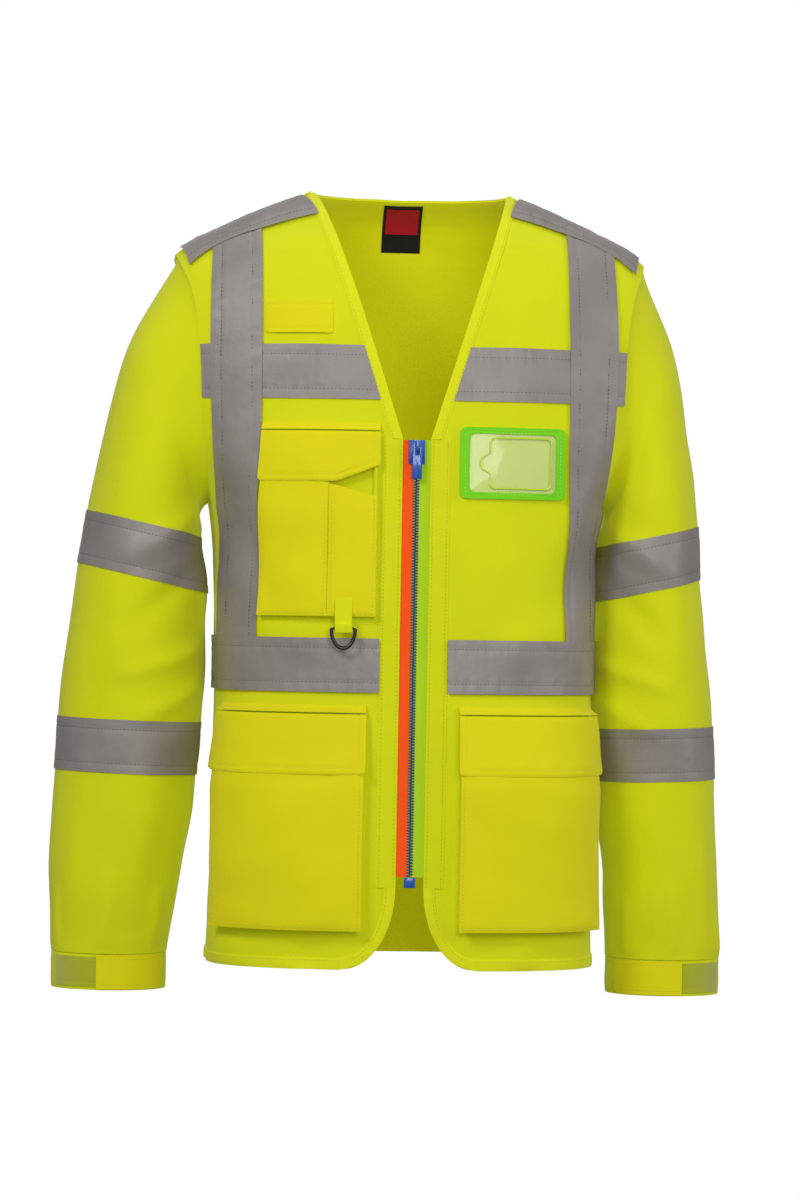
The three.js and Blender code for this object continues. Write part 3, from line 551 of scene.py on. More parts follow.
hem_top = hem_z + binding_width
hem_rows = np.linspace(hem_top, hem_z - 0.4 * MM, 8)
for name, side in SIDES:
    def turned(angle, side=side):
        return side_angle(side, angle)

    v_rows = row_heights(-1 * MM, v_z + 1 * MM, 4 * MM)
    body_sheet(f"neck_binding_cloth_{name}",
               lambda z: turned(front_angle(front_edge_x(z) - 0.6 * MM, z)),
               lambda z: turned(front_angle(front_edge_x(z) + binding_width, z)),
               v_rows, 9, puckered(14 * MM, 0.12 * MM, 2 + side), TRIM,
               binding_cloth, "binding", "torso", ["neck_binding"] if side > 0 else [])
    straight_rows = row_heights(v_z + 0.5 * MM, zip_end_z, 4 * MM)
    body_sheet(f"front_placket_cloth_{name}",
               lambda z: turned(front_angle(zip_edge - 0.4 * MM, z)),
               lambda z: turned(front_angle(placket_edge, z)),
               straight_rows, 13, puckered(22 * MM, 0.22 * MM, 5 + side), TRIM,
               shell_cloth, "shell_fabric", "torso", [f"front_placket_{name}"])
    corner_rows = row_heights(zip_end_z, hem_z, 3 * MM, hem_top, hem_z + 5 * MM, hem_z + 2 * MM)
    body_sheet(f"hem_corner_cloth_{name}",
               lambda z: turned(front_angle(front_edge_x(z) - 0.3 * MM, z)),
               lambda z: turned(front_angle(np.where(z > hem_top, front_edge_x(
                   np.maximum(z, hem_top), binding_width), hem_corner_x + 2 * MM), z)),
               corner_rows, 10, puckered(16 * MM, 0.15 * MM, 8 + side), TRIM,
               binding_cloth, "binding", "torso", [f"hem_binding_{name}"])
    body_sheet(f"hem_band_cloth_{name}",
               lambda z: turned(front_angle(hem_corner_x + 1 * MM, z)), lambda z: turned(0 * z),
               hem_rows, 60, crowned(0.4 * MM), TRIM, binding_cloth, "binding", "torso")

body_sheet("hem_band_cloth_back", lambda z: 0 * z, lambda z: math.pi + 0 * z,
           hem_rows, 120, crowned(0.4 * MM), TRIM, binding_cloth, "binding", "torso",
           ["hem_binding_back"])
body_sheet("neck_binding_cloth_back", lambda z: -0.03 + 0 * z, lambda z: math.pi + 0.03 + 0 * z,
           np.linspace(0.4 * MM, -9 * MM, 8), 90, crowned(0.5 * MM), TRIM, binding_cloth,
           "binding", "torso")
print("edge strips done")

# %% [markdown]
# ## Retroreflective tapes
# A tape is sewn down along two lines a centimetre in from its edges. The thread draws it in, so
# it puckers at the seams and stands slightly proud between them. Where two tapes cross, the
# second lies over the first: each layer has its own rise.
# %% Tapes on the body
TAPE = 0.45 * MM
SEAM_INSET = 9 * MM
seam_share = SEAM_INSET / tape_width
LAYERS = {"chest": 1, "brace": 2, "waist": 3, "shoulder": 3}
LAYER_STEP = 0.8 * MM


def layer_rise(layer):
    """How far off the body a tape's relief starts."""
    return RISE + LAYERS[layer] * LAYER_STEP


def tape_relief(across, along, seed):
    """Height over a tape: pinched at its two seams, with puckers that run across it."""
    to_seam = np.minimum(np.abs(across - seam_share), np.abs(across - 1 + seam_share))
    pinch = np.exp(-(to_seam / 0.035) ** 2)
    loose = np.exp(-(to_seam / 0.16) ** 2)
    ripple = waves(along, across * 6 * MM, seed, 9 * MM)
    ripple = ripple + 0.7 * waves(along, across * 9 * MM, seed + 4, 21 * MM)
    body = 0.35 * MM * waves(along, across * tape_width, seed + 9, 60 * MM)
    return 0.5 * MM + body - 0.45 * MM * pinch + 0.38 * MM * ripple * loose


def level_tape(layer, seed):
    """For a tape that runs round the body: across is the height, along is the angle."""
    rise = layer_rise(layer)
    return lambda s, d, angle, z: rise + tape_relief(d, angle * BODY_ROUND, seed)


chest_low, chest_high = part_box("chest_tape_left")
waist_low, waist_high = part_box("waist_tape_left")
brace_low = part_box("brace_tape_left")[0]
TAPE_DRESS = (tape_silver, "reflective_tape", "torso")


def band_rows(low, high):
    return np.linspace(high, low, 26)


for name, side in SIDES:
    def turned(angle, side=side):
        return side_angle(side, angle)

    def v_side(z):
        return front_angle(front_edge_x(z) + binding_width - 1 * MM, z)

    body_sheet(f"chest_tape_cloth_{name}", lambda z: turned(v_side(z)),
               lambda z: turned(front_angle(armhole_at(z) - 0.6 * MM, z)),
               band_rows(chest_low.z, chest_high.z), 110, level_tape("chest", 11 + side),
               TAPE, *TAPE_DRESS, [f"chest_tape_{name}"])
    body_sheet(f"waist_tape_cloth_{name}",
               lambda z: turned(front_angle(placket_edge + 0.5 * MM, z)), lambda z: turned(0 * z),
               band_rows(waist_low.z, waist_high.z), 130, level_tape("waist", 14 + side),
               TAPE, *TAPE_DRESS, [f"waist_tape_{name}"])
body_sheet("chest_tape_cloth_back",
           lambda z: back_edge(z) + 0.01, lambda z: math.pi - back_edge(z) - 0.01,
           band_rows(chest_low.z, chest_high.z), 200, level_tape("chest", 17), TAPE,
           *TAPE_DRESS, ["chest_tape_back"])
body_sheet("waist_tape_cloth_back", lambda z: 0 * z, lambda z: math.pi + 0 * z,
           band_rows(waist_low.z, waist_high.z), 220, level_tape("waist", 19), TAPE,
           *TAPE_DRESS, ["waist_tape_back"])
print("tapes round the body done")

# %% [markdown]
# ## Tapes over the shoulder
# The upright tape runs from the waist in front, over the shoulder, to the waist behind. On a
# column of fixed x the body's outline is walked up to the shoulder ridge and down the back. The
# tape along the shoulder seam is found the other way round: for each x and depth, the height of
# the body's top is searched for.
# %% Shoulder and upright tapes
def sheet_from(name, angle, z, lift, thick, *dress):
    """A sheet from grids of angle and height on the body."""
    outer = on_body(angle, z, lift)
    inner = on_body(angle, z, lift - thick)
    return finish_piece(name, cloth_mesh(name, outer, inner), *dress)


def top_height(x, y):
    """Height of the body's top surface over a point of the plan."""
    low, high = np.full(x.shape, -170 * MM), np.full(x.shape, 11 * MM)
    for _ in range(34):
        z = (low + high) / 2
        half, ahead, behind, power = body_section(z)
        inside = np.abs(x / half) ** power + np.abs(y / np.where(y < 0, ahead, behind)) ** power < 1
        low, high = np.where(inside, z, low), np.where(inside, high, z)
    return (low + high) / 2


def ridge_height(x):
    z = np.linspace(-66, 12, 600) * MM
    return np.interp(x, body_section(z)[0][::-1], z[::-1])


def side_y(x, z, behind):
    half, ahead, after, power = body_section(z)
    rest = np.clip(1 - (np.abs(x) / half) ** power, 0, 1) ** (1 / power)
    return rest * (after if behind else -ahead)


# the tape's outer edge follows the armhole and then the side (height, x)
BRACE_OUTER = np.array([(-432, 176), (-360, 176), (-296, 180), (-206, 188), (-150, 190), (5, 187)])
BRACE_COLUMNS = 26
BRACE_TOP_OUTER = 188 * MM          # x of its outer edge on the shoulder ridge
BRACE_SETTLE = 40 * MM              # drop from the ridge over which the edges find their lines
brace_share = np.linspace(0, 1, BRACE_COLUMNS)[None, :]
brace_top_x = brace_low.x + (BRACE_TOP_OUTER - brace_low.x) * brace_share
walk = np.linspace(1, 0, 110)[:, None]
ridge_z = ridge_height(brace_top_x)
up_z = ridge_z - (ridge_z - brace_low.z) * walk ** 2
outer_x = smooth_curve(up_z, BRACE_OUTER[:, 0] * MM, BRACE_OUTER[:, 1] * MM)
brace_x = brace_low.x + (outer_x - brace_low.x) * brace_share
brace_x = brace_top_x + (brace_x - brace_top_x) * np.clip((ridge_z - up_z) / BRACE_SETTLE, 0, 1)


def shoulder_plan(s, run):
    """x and y on the shoulder tape: s goes over its width to the rear, run out from the neck."""
    neck_end = (104 - 14 * (1 - s)) * MM
    outer_end = (217 - 8 * (1 - s) ** 1.5) * MM
    return neck_end + (outer_end - neck_end) * run, (-56 + 50 * s) * MM


for name, side in SIDES:
    front_part = np.arctan2(side_y(brace_x, up_z, False), brace_x)
    back_part = np.arctan2(side_y(brace_x, up_z, True), brace_x)[::-1]
    angle = np.concatenate([front_part, back_part[1:]])
    z = np.concatenate([up_z, up_z[::-1][1:]])
    s = brace_share + 0 * z
    along = np.cumsum(np.full(z.shape, 4 * MM), axis=0)
    lift = layer_rise("brace") + tape_relief(s, along, 23 + side)
    sheet_from(f"brace_tape_cloth_{name}", side_angle(side, angle), z, lift, TAPE,
               *TAPE_DRESS, [f"brace_tape_{name}"])

    s = np.linspace(0, 1, 30)[None, :] + np.zeros((60, 1))
    x, y = shoulder_plan(s, np.linspace(0, 1, 60)[:, None] + 0 * s)
    lift = layer_rise("shoulder") + tape_relief(s, x, 27 + side)
    sheet_from(f"shoulder_tape_cloth_{name}", side_angle(side, np.arctan2(y, x)),
               top_height(x, y), lift, TAPE, *TAPE_DRESS, [f"shoulder_tape_{name}"])
print("tapes over the shoulder done")

# %% [markdown]
# ## Sleeves
# A sleeve is a tube of sections hung from the armhole. The rows give the middle, half width,
# half depth and tilt of each section, the first being the armhole itself. Each arm hangs a
# little differently, so that the pair doesn't look stamped.
# %% Sleeve surface
# middle x and height, half width, half depth (mm) and tilt (degrees)
SLEEVE_ROWS = np.array([
    (205, -181, 115, 74, 88), (221, -221, 97, 78, 72), (232, -292, 67, 80, 47),
    (239, -380, 58, 77, 18), (246, -481, 61, 74, 4), (252, -566, 60, 68, 2),
    (258, -643, 58, 60, 0), (260, -722, 54.5, 52, 0)])
HANG = {"right": (14, 2.5), "left": (-6, -5)}      # how far out a sleeve hangs, and how wider
INNER_FILL = {"right": 8, "left": 5}                # slack of the cloth towards the body, mm
LAST_ROW = len(SLEEVE_ROWS) - 1.0
ARM_ROUND = 60 * MM                                 # metres of cloth for a radian round the arm
# name, drop below the neck and slope of each tape round the arm
SLEEVE_TAPES = (("upper", 297 * MM, 0.226), ("lower", 500 * MM, 0.03))
SLEEVE_TAPE_RISE = 0.5 * MM
# round the arm and down it, from and to, then width and height of the ridge, all mm; round the
# arm 0 is the outside, -94 the front and +94 the back
SLEEVE_FOLDS = (
    (-165, -300, -70, -355, 13, 3.4), (-170, -335, -80, -425, 12, -2.6),
    (-175, -430, -80, -462, 9, 3.0), (-175, -462, -95, -505, 9, 2.8),
    (-60, -240, -84, -470, 20, 2.4), (-120, -510, -112, -700, 15, 2.4),
    (-60, -560, -50, -712, 13, 1.8), (-92, -640, -88, -720, 9, 1.8),
    (165, -300, 80, -360, 14, 3.4), (172, -430, 84, -468, 10, 3.0), (60, -250, 90, -470, 20, 2.6),
    (120, -520, 108, -700, 15, 2.6), (20, -400, 24, -470, 14, -2.0), (170, -560, 70, -610, 12, 2.2),
    (30, -600, 24, -712, 14, 2.0), (-30, -655, -26, -720, 8, 1.6), (-140, -655, -144, -720, 8, 1.8))


def sleeve_point(name, side, t, along):
    """A point of the bare sleeve: t is the angle round the arm, along counts down the rows."""
    out, wider = (value * MM for value in HANG[name])
    rows = np.arange(len(SLEEVE_ROWS), dtype=float)
    x, z, half, depth = (smooth_curve(along, rows, SLEEVE_ROWS[:, n] * MM) for n in range(4))
    tilt = np.radians(smooth_curve(along, rows, SLEEVE_ROWS[:, 4]))
    share = np.clip(along / 3, 0, 1)
    cuffward = np.clip(LAST_ROW - along, 0, 1)
    rest = np.clip((along - 1.6) / 1.2, 0, 1) * np.clip((LAST_ROW - along) / 1.8, 0, 1)
    inward = INNER_FILL[name] * MM * rest * np.clip(-np.cos(t), 0, 1)    # it rests by the body
    reach = (half + wider * share * cuffward) * np.cos(t) - inward
    tube = np.stack([x + out * share + reach * np.cos(tilt), depth * np.sin(t),
                     z + reach * np.sin(tilt)], axis=-1)
    ring_z = tip_z + (armhole_end_z - tip_z) * (1 - np.cos(t)) / 2 + 0 * along
    ring_x = armhole_at(ring_z)
    ring_y = np.where(np.sin(t) < 0, side_y(ring_x, ring_z, False),
                      side_y(ring_x, ring_z, True))
    armhole = np.stack([ring_x, ring_y, ring_z], axis=-1)
    s = np.clip(along, 0, 1)[..., None]
    return (armhole + (tube - armhole) * s * s * (3 - 2 * s)) * np.array([side, 1, 1])


def on_sleeve(name, side, t, along, lift):
    """A point that stands off the sleeve by lift, with its folds."""
    around = sleeve_point(name, side, t + 0.02, along) - sleeve_point(name, side, t - 0.02, along)
    down = (sleeve_point(name, side, t, np.minimum(along + 0.06, LAST_ROW))
            - sleeve_point(name, side, t, np.maximum(along - 0.06, 0)))
    normal = np.cross(down, around) * side
    normal = normal / np.maximum(np.linalg.norm(normal, axis=-1, keepdims=True), 1e-9)
    point = sleeve_point(name, side, t, along)
    arc = ((t + math.pi) % (2 * math.pi) - math.pi) * ARM_ROUND
    shift = 6 * MM if side > 0 else 0
    folds = DEPTH * sum(ridge(arc, point[..., 2] + shift, fold) for fold in SLEEVE_FOLDS)
    turn = np.cos(t) * ARM_ROUND
    folds = folds + 1.3 * MM * waves(turn + np.sin(t) * 0.02, point[..., 2], 31 + side, 0.11)
    folds = folds * np.clip(along / 0.5, 0, 1) * np.clip((LAST_ROW - along) / 0.12, 0, 1)
    return point + normal * (folds + lift)[..., None]


def sleeve_band(name, side, drop, slope, tall, t, rows):
    """The along value of each row of a slanted band on a sleeve."""
    fine = np.linspace(0.3, LAST_ROW, 500)[:, None]
    place = sleeve_point(name, side, t, fine)
    fall = place[..., 2] + drop + (armhole_x + 120 * MM - np.abs(place[..., 0])) * slope
    levels = tall * np.linspace(0, 1, rows)
    columns = [np.interp(levels, -fall[:, k], fine[:, 0]) for k in range(t.shape[1])]
    return np.stack(columns, axis=1)


def sleeve_tape_lift(share, t, side):
    """The lift of a sleeve's tape at a share of its width and an angle round the arm."""
    return SLEEVE_TAPE_RISE + tape_relief(share, np.sin(t) * ARM_ROUND + t * 0.01, 41 + side)


for name, side in SIDES:
    body = f"sleeve_{name}"
    t = (np.arange(112) / 112 * 2 * math.pi)[None, :]
    along = np.concatenate([np.linspace(0, 1, 30)[:-1], np.linspace(1, LAST_ROW, 150)])[:, None]
    t_grid, along_grid = t + 0 * along, along + 0 * t
    seam = -0.5 * MM * np.exp(-(along_grid / 0.05) ** 2)
    outer = on_sleeve(name, side, t_grid, along_grid, seam)
    inner = on_sleeve(name, side, t_grid, along_grid, seam - FABRIC)
    sleeve = finish_piece(f"sleeve_cloth_{name}", cloth_mesh("sleeve", outer, inner, ring=True),
                          shell_cloth, "shell_fabric", body, [f"sleeve_{name}"])
    for level, drop, slope in SLEEVE_TAPES:
        tall = tape_width * math.hypot(1, slope)
        along_grid = sleeve_band(name, side, drop, slope, tall, t, 24)
        t_grid = t + 0 * along_grid
        lift = sleeve_tape_lift(np.linspace(0, 1, 24)[:, None] + 0 * t_grid, t_grid, side)
        outer = on_sleeve(name, side, t_grid, along_grid, lift)
        inner = on_sleeve(name, side, t_grid, along_grid, lift - TAPE)
        finish_piece(f"sleeve_tape_cloth_{level}_{name}",
                     cloth_mesh("sleeve tape", outer, inner, ring=True), tape_silver,
                     "reflective_tape", body, [f"sleeve_tape_{level}_{name}"])
print("sleeves done")

# %% [markdown]
# ## Cuffs
# The cuff is a short band with a loop strip on its outer half and a closing tab over it. The
# patches are drawn on the cuff's own ellipse, with rounded corners on the tab.
# %% Cuffs
CUFF_TOP = -722.3 * MM
CUFF_TALL = 34 * MM
CUFF_HALF, CUFF_DEPTH = 54 * MM, 50 * MM
CUFF_SEAM = 4 * MM                          # from a stitch line to the cuff's edge
# for each patch: how far inward and outward of the arm's middle it reaches, its face's height
LOOP_STRIP = (-5, 49, 1.3)
CUFF_TAB = (-47.4, 12, 2.7)


def on_cuff(name, side, turn, z, lift):
    """turn 0 is the outside of the arm and -90 degrees the front."""
    middle = (260 + HANG[name][0]) * MM
    flat = np.stack([np.cos(turn) / CUFF_HALF, np.sin(turn) / CUFF_DEPTH, 0 * z], axis=-1)
    normal = flat / np.linalg.norm(flat, axis=-1, keepdims=True)
    point = np.stack([middle + CUFF_HALF * np.cos(turn), CUFF_DEPTH * np.sin(turn), z], axis=-1)
    return (point + normal * lift[..., None]) * np.array([side, 1, 1])


def corner_inset(gap, radius):
    """How far an edge draws in at a distance gap from the corner's end."""
    near = np.clip(1 - gap / radius, 0, 1)
    return radius * (1 - np.sqrt(1 - near ** 2))


for name, side in SIDES:
    turn = (np.arange(96) / 96 * 2 * math.pi)[None, :]
    down = np.linspace(0, 1, 22)[:, None]
    turn_grid, z = turn + 0 * down, CUFF_TOP - CUFF_TALL * (down + 0 * turn)
    near = np.minimum(down, 1 - down) * CUFF_TALL
    groove = -0.35 * MM * np.exp(-((near - CUFF_SEAM) / (1.1 * MM)) ** 2)
    lift = 0.4 * MM + groove + 0.25 * MM * waves(turn_grid * 0.05, z, 51, 15 * MM)
    lift = lift - 0.6 * MM * np.clip(1 - near / (1.5 * MM), 0, 1) ** 2
    finish_piece(f"cuff_cloth_{name}",
                 cloth_mesh("cuff", on_cuff(name, side, turn_grid, z, lift),
                            on_cuff(name, side, turn_grid, z, 0 * z - FABRIC), ring=True),
                 shell_cloth, "shell_fabric", f"sleeve_{name}", [f"cuff_{name}"])
    # name, reach and face, inset from the cuff's edges, height of the back, corner radius, dress
    patches = (("cuff_loop_strip", LOOP_STRIP, 3, 0.7, 1.5, loop_pile, "hook_loop", "sleeve"),
               ("cuff_tab", CUFF_TAB, 1, 1.7, 9, flap_cloth, "flap_fabric", "cuff_tab"))
    for label, (inward, outward, face), inset, back, radius, cloth, slot, body in patches:
        a, b = -math.acos(inward * MM / CUFF_HALF), -math.acos(outward * MM / CUFF_HALF)
        turn_grid = np.linspace(a, b, 60)[None, :] + np.zeros((14, 1))
        gap = (turn_grid - a) * CUFF_HALF
        half_tall = CUFF_TALL / 2 - inset * MM - corner_inset(gap, radius * MM)
        across = np.linspace(1, -1, 14)[:, None]
        z = CUFF_TOP - CUFF_TALL / 2 + across * half_tall
        edge = np.minimum(1 - np.abs(across), 1) * CUFF_TALL / 2
        dip = -0.3 * MM * np.exp(-((edge - CUFF_SEAM) / (1.2 * MM)) ** 2) + 0 * z
        outer = on_cuff(name, side, turn_grid, z, face * MM + dip)
        inner = on_cuff(name, side, turn_grid, z, back * MM + 0 * z)
        finish_piece(f"{label}_cloth_{name}", cloth_mesh(label, outer, inner), cloth, slot,
                     f"{body}_{name}", [f"{label}_{name}"])
print("cuffs done")

# %% [markdown]
# ## Stitch lines
# A seam reads as sewn only when the thread shows. Each stitch line is a path on a surface, cut
# into equal steps, and kept until the end, when one mesh of stitches is made for each body and
# thread. Lines on the tapes lie in the grooves that the tapes' relief already has.
# %% Collect stitch lines
STITCH_PITCH = 3.6 * MM
stitch_lines = {}


def add_stitches(body, thread, points, normals):
    """Cut a path into stitches: places, headings and the way out of the cloth."""
    steps = np.linalg.norm(np.diff(points, axis=0), axis=1)
    length = np.concatenate([[0], np.cumsum(steps)])
    want = np.arange(STITCH_PITCH / 2, length[-1], STITCH_PITCH)
    if len(want) < 2:
        return
    place = np.stack([np.interp(want, length, points[:, n]) for n in range(3)], axis=1)
    out = np.stack([np.interp(want, length, normals[:, n]) for n in range(3)], axis=1)
    ahead = np.gradient(place, axis=0)
    stitch_lines.setdefault((body, thread), []).append((place, ahead, out))


def body_stitches(body, thread, angle, z, lift):
    """Stitches along a line of angles and heights on the body."""
    angle, z = np.broadcast_arrays(np.asarray(angle, float), np.asarray(z, float))
    add_stitches(body, thread, on_body(angle, z, lift + 0 * z), body_normal(angle, z))


def tape_stitches(angle_of, z_low, z_high, layer, seed, count=160):
    """Two rows along a level tape; angle_of gives the start and end angle at a height."""
    for share in (seam_share, 1 - seam_share):
        z = np.full(count, z_high + (z_low - z_high) * share)
        start, end = angle_of(z)
        angle = start + (end - start) * np.linspace(0.004, 0.996, count)
        relief = tape_relief(share + 0 * z, angle * BODY_ROUND, seed)
        body_stitches("torso", "grey", angle, z, layer_rise(layer) + relief)


for name, side in SIDES:
    def turned(angle, side=side):
        return side_angle(side, angle)

    def sewn_front(x, z, lift):
        """A yellow line on a front, given by an x for each height."""
        body_stitches("torso", "yellow", turned(front_angle(x, z)), z, lift)

    tape_stitches(lambda z: (turned(front_angle(front_edge_x(z) + binding_width, z)),
                             turned(front_angle(armhole_at(z) - 1 * MM, z))),
                  chest_low.z, chest_high.z, "chest", 11 + side)
    tape_stitches(lambda z: (turned(front_angle(placket_edge + 1 * MM, z)), turned(0 * z)),
                  waist_low.z, waist_high.z, "waist", 14 + side)
    for share in (seam_share, 1 - seam_share):
        k = round(share * (BRACE_COLUMNS - 1))
        x, z = brace_x[:, k], up_z[:, k]
        lift = layer_rise("brace") + tape_relief(share + 0 * z, z, 23 + side)
        for behind in (False, True):
            body_stitches("torso", "grey", turned(np.arctan2(side_y(x, z, behind), x)), z, lift)
        across = np.full(80, share)
        x, y = shoulder_plan(across, np.linspace(0.01, 0.99, 80))
        body_stitches("torso", "grey", turned(np.arctan2(y, x)), top_height(x, y),
                      layer_rise("shoulder") + tape_relief(across, x, 27 + side))
    z = np.linspace(v_z, zip_end_z, 200)
    for inset in (2.2 * MM, placket_edge - zip_edge - 2.5 * MM):
        sewn_front(zip_edge + inset, z, RISE + TRIM + 0.1 * MM)
    z = np.linspace(-2 * MM, v_z, 140)
    sewn_front(front_edge_x(z) + binding_width - 2 * MM, z, RISE + TRIM)
    z = zip_end_z - (zip_end_z - hem_top) * np.sin(np.linspace(0, math.pi / 2, 80))
    sewn_front(front_edge_x(z, binding_width - 2 * MM), z, RISE + TRIM)
    angle = turned(np.linspace(front_angle(hem_corner_x, hem_top), 0, 120))
    body_stitches("torso", "yellow", angle, hem_top - 2 * MM, RISE + TRIM - 0.1 * MM)
tape_stitches(lambda z: (back_edge(z) + 0.01, math.pi - back_edge(z) - 0.01),
              chest_low.z, chest_high.z, "chest", 17, 240)
tape_stitches(lambda z: (0 * z, math.pi + 0 * z), waist_low.z, waist_high.z, "waist", 19, 260)
body_stitches("torso", "yellow", np.linspace(0, math.pi, 240), hem_top - 2 * MM,
              RISE + TRIM - 0.1 * MM)
print("stitch lines on the body", sum(len(lines) for lines in stitch_lines.values()))

# %% Stitches on the sleeves and cuffs
for name, side in SIDES:
    body = f"sleeve_{name}"

    def sewn_cuff(owner, turn, z, lift):
        """A yellow line round the cuff; a point 2 mm higher tells the way out of the cloth."""
        row = on_cuff(name, side, turn, z + 0 * turn, lift + 0 * turn)
        higher = on_cuff(name, side, turn, z + 0 * turn, lift + 2 * MM + 0 * turn)
        add_stitches(owner, "yellow", row, higher - row)

    t = (np.linspace(0, 1, 160) * 2 * math.pi)[None, :]
    for level, drop, slope in SLEEVE_TAPES:
        rows = sleeve_band(name, side, drop, slope, tape_width * math.hypot(1, slope), t, 51)
        for share in (seam_share, 1 - seam_share):
            along_row = rows[round(share * 50)][None, :]
            lift = sleeve_tape_lift(share + 0 * t, t, side)
            lifted = on_sleeve(name, side, t, along_row, lift)[0]
            higher = on_sleeve(name, side, t, along_row, lift + 2 * MM)[0]
            add_stitches(body, "grey", lifted, higher - lifted)
    turn = np.linspace(0, 2 * math.pi, 120)
    for z in (CUFF_TOP - CUFF_SEAM, CUFF_TOP - CUFF_TALL + CUFF_SEAM):
        sewn_cuff(body, turn, z, 0.15 * MM)
    for (inward, outward, face), inset, owner in ((LOOP_STRIP, 6, body),
                                                  (CUFF_TAB, 5, f"cuff_tab_{name}")):
        a, b = (-math.acos(reach * MM / CUFF_HALF) for reach in (inward + 3, outward - 3))
        for z in (CUFF_TOP - inset * MM, CUFF_TOP - CUFF_TALL + inset * MM):
            sewn_cuff(owner, np.linspace(a, b, 50), z, face * MM - 0.1 * MM)


def patch_stitches(body, side, path, box, lift):
    """Stitches along a path of (x, z) points on a patch with sides x0, x1, z0 and z1."""
    x0, x1, z0, z1 = box
    steps = [np.linspace(a, b, 30) for a, b in zip(path, path[1:])]
    points = np.concatenate(steps)
    keep = np.concatenate([[True], np.linalg.norm(np.diff(points, axis=0), axis=1) > 1e-7])
    x, z = points[keep].T
    height = lift((x - x0) / (x1 - x0), (z0 - z) / (z0 - z1), z)
    angle = side_angle(side, front_angle(x, z))
    body_stitches(body, "yellow", angle, z, height)

# %% [markdown]
# ## Patch pockets
# A bellows pocket is a wall held off the panel by a gusset along its sides and bottom, with a
# flap that hangs from a sewn strip. The wall sags: it stands furthest out near the bottom. Each
# patch below is drawn in the frame's own outline with a lift that grows downwards.
# %% A patch on the body
def flat_patch(name, side, x0, x1, z0, z1, lift, thick, dress, columns=40, rows=36,
               radius=(0, 0), slant=None):
    """A patch on the body between two x (wearer's left side) and two heights, top first.

    radius rounds the top and the bottom corners, and slant raises the bottom edge by share."""
    share = np.linspace(0, 1, columns)[None, :] + np.zeros((rows, 1))
    down = np.linspace(0, 1, rows)[:, None] + 0 * share
    bottom = z1 + (slant(share) if slant else 0)
    z = z0 + (bottom - z0) * down
    inset = corner_inset(z0 - z, radius[0]) if radius[0] else 0
    inset = inset + (corner_inset(z - z1, radius[1]) if radius[1] else 0)
    x = x0 + inset + (x1 - x0 - 2 * inset) * share
    angle = side_angle(side, front_angle(x, z))
    stand = lift(share, down, z) if callable(lift) else lift + 0 * z
    mesh = cloth_mesh(name, on_body(angle, z, stand), on_body(angle, z, stand - thick))
    return finish_piece(name, mesh, *dress)


def seam_pinch(gap, inset, depth=0.35 * MM, width=1.1 * MM):
    """A groove along a stitch line that lies inset from an edge."""
    return -depth * np.exp(-((gap - inset) / width) ** 2)

# %% Walls of a pocket
# a pocket's sides, mouth and bottom, and how far its wall stands off the panel at the mouth and
# further down
Bag = namedtuple("Bag", "side x0 x1 top bottom shallow deep")
SAG = 70 * MM                   # drop below the mouth at which the wall stands furthest off
FLAP_OVER = 2 * MM              # how far a flap and its strip reach past the wall at each side
FLAP_COVER = 62 * MM            # wall below the mouth that needs no stitches, hidden by the flap
WALL = 1.2 * MM


def stand_off(bag, z):
    share = np.clip((bag.top - z) / SAG, 0, 1)
    return bag.shallow + (bag.deep - bag.shallow) * share


def pocket_wall(bag, node, a, b, drops, cloth, slot):
    """A wall from x a to x b; drops are how far its top edge lies below the mouth at each."""
    def lift(s, d, z):
        edge = np.minimum(np.minimum(s, 1 - s) * (b - a), np.minimum(z - bag.bottom, 40 * MM))
        soft = -1.6 * MM * np.clip(1 - edge / (5 * MM), 0, 1) ** 2
        belly = 1.1 * MM * np.sin(math.pi * s) * np.sin(math.pi * np.clip(d, 0, 1))
        crease = 1.3 * MM * waves(s * (bag.x1 - bag.x0) + 0.5 * z, z, 61 + bag.side, 95 * MM)
        crease = crease * np.clip(edge / (15 * MM), 0, 1)
        return stand_off(bag, z) + soft + belly + crease + seam_pinch(edge, 3 * MM)

    share = np.linspace(0, 1, 48)[None, :] + np.zeros((56, 1))
    down = np.linspace(0, 1, 56)[:, None] + 0 * share
    start = bag.top - drops[0] + (drops[0] - drops[1]) * share
    z = start + (bag.bottom - start) * down
    angle = side_angle(bag.side, front_angle(a + (b - a) * share, z))
    stand = lift(share, down, z)
    mesh = cloth_mesh(node, on_body(angle, z, stand), on_body(angle, z, stand - WALL))
    finish_piece(f"{node}_cloth", mesh, cloth, slot, "torso", [node])
    i, high = 3 * MM, bag.top - FLAP_COVER
    patch_stitches("torso", bag.side, [(a + i, high), (a + i, bag.bottom + i),
                                       (b - i, bag.bottom + i), (b - i, high)],
                   (a, b, bag.top, bag.bottom), lift)

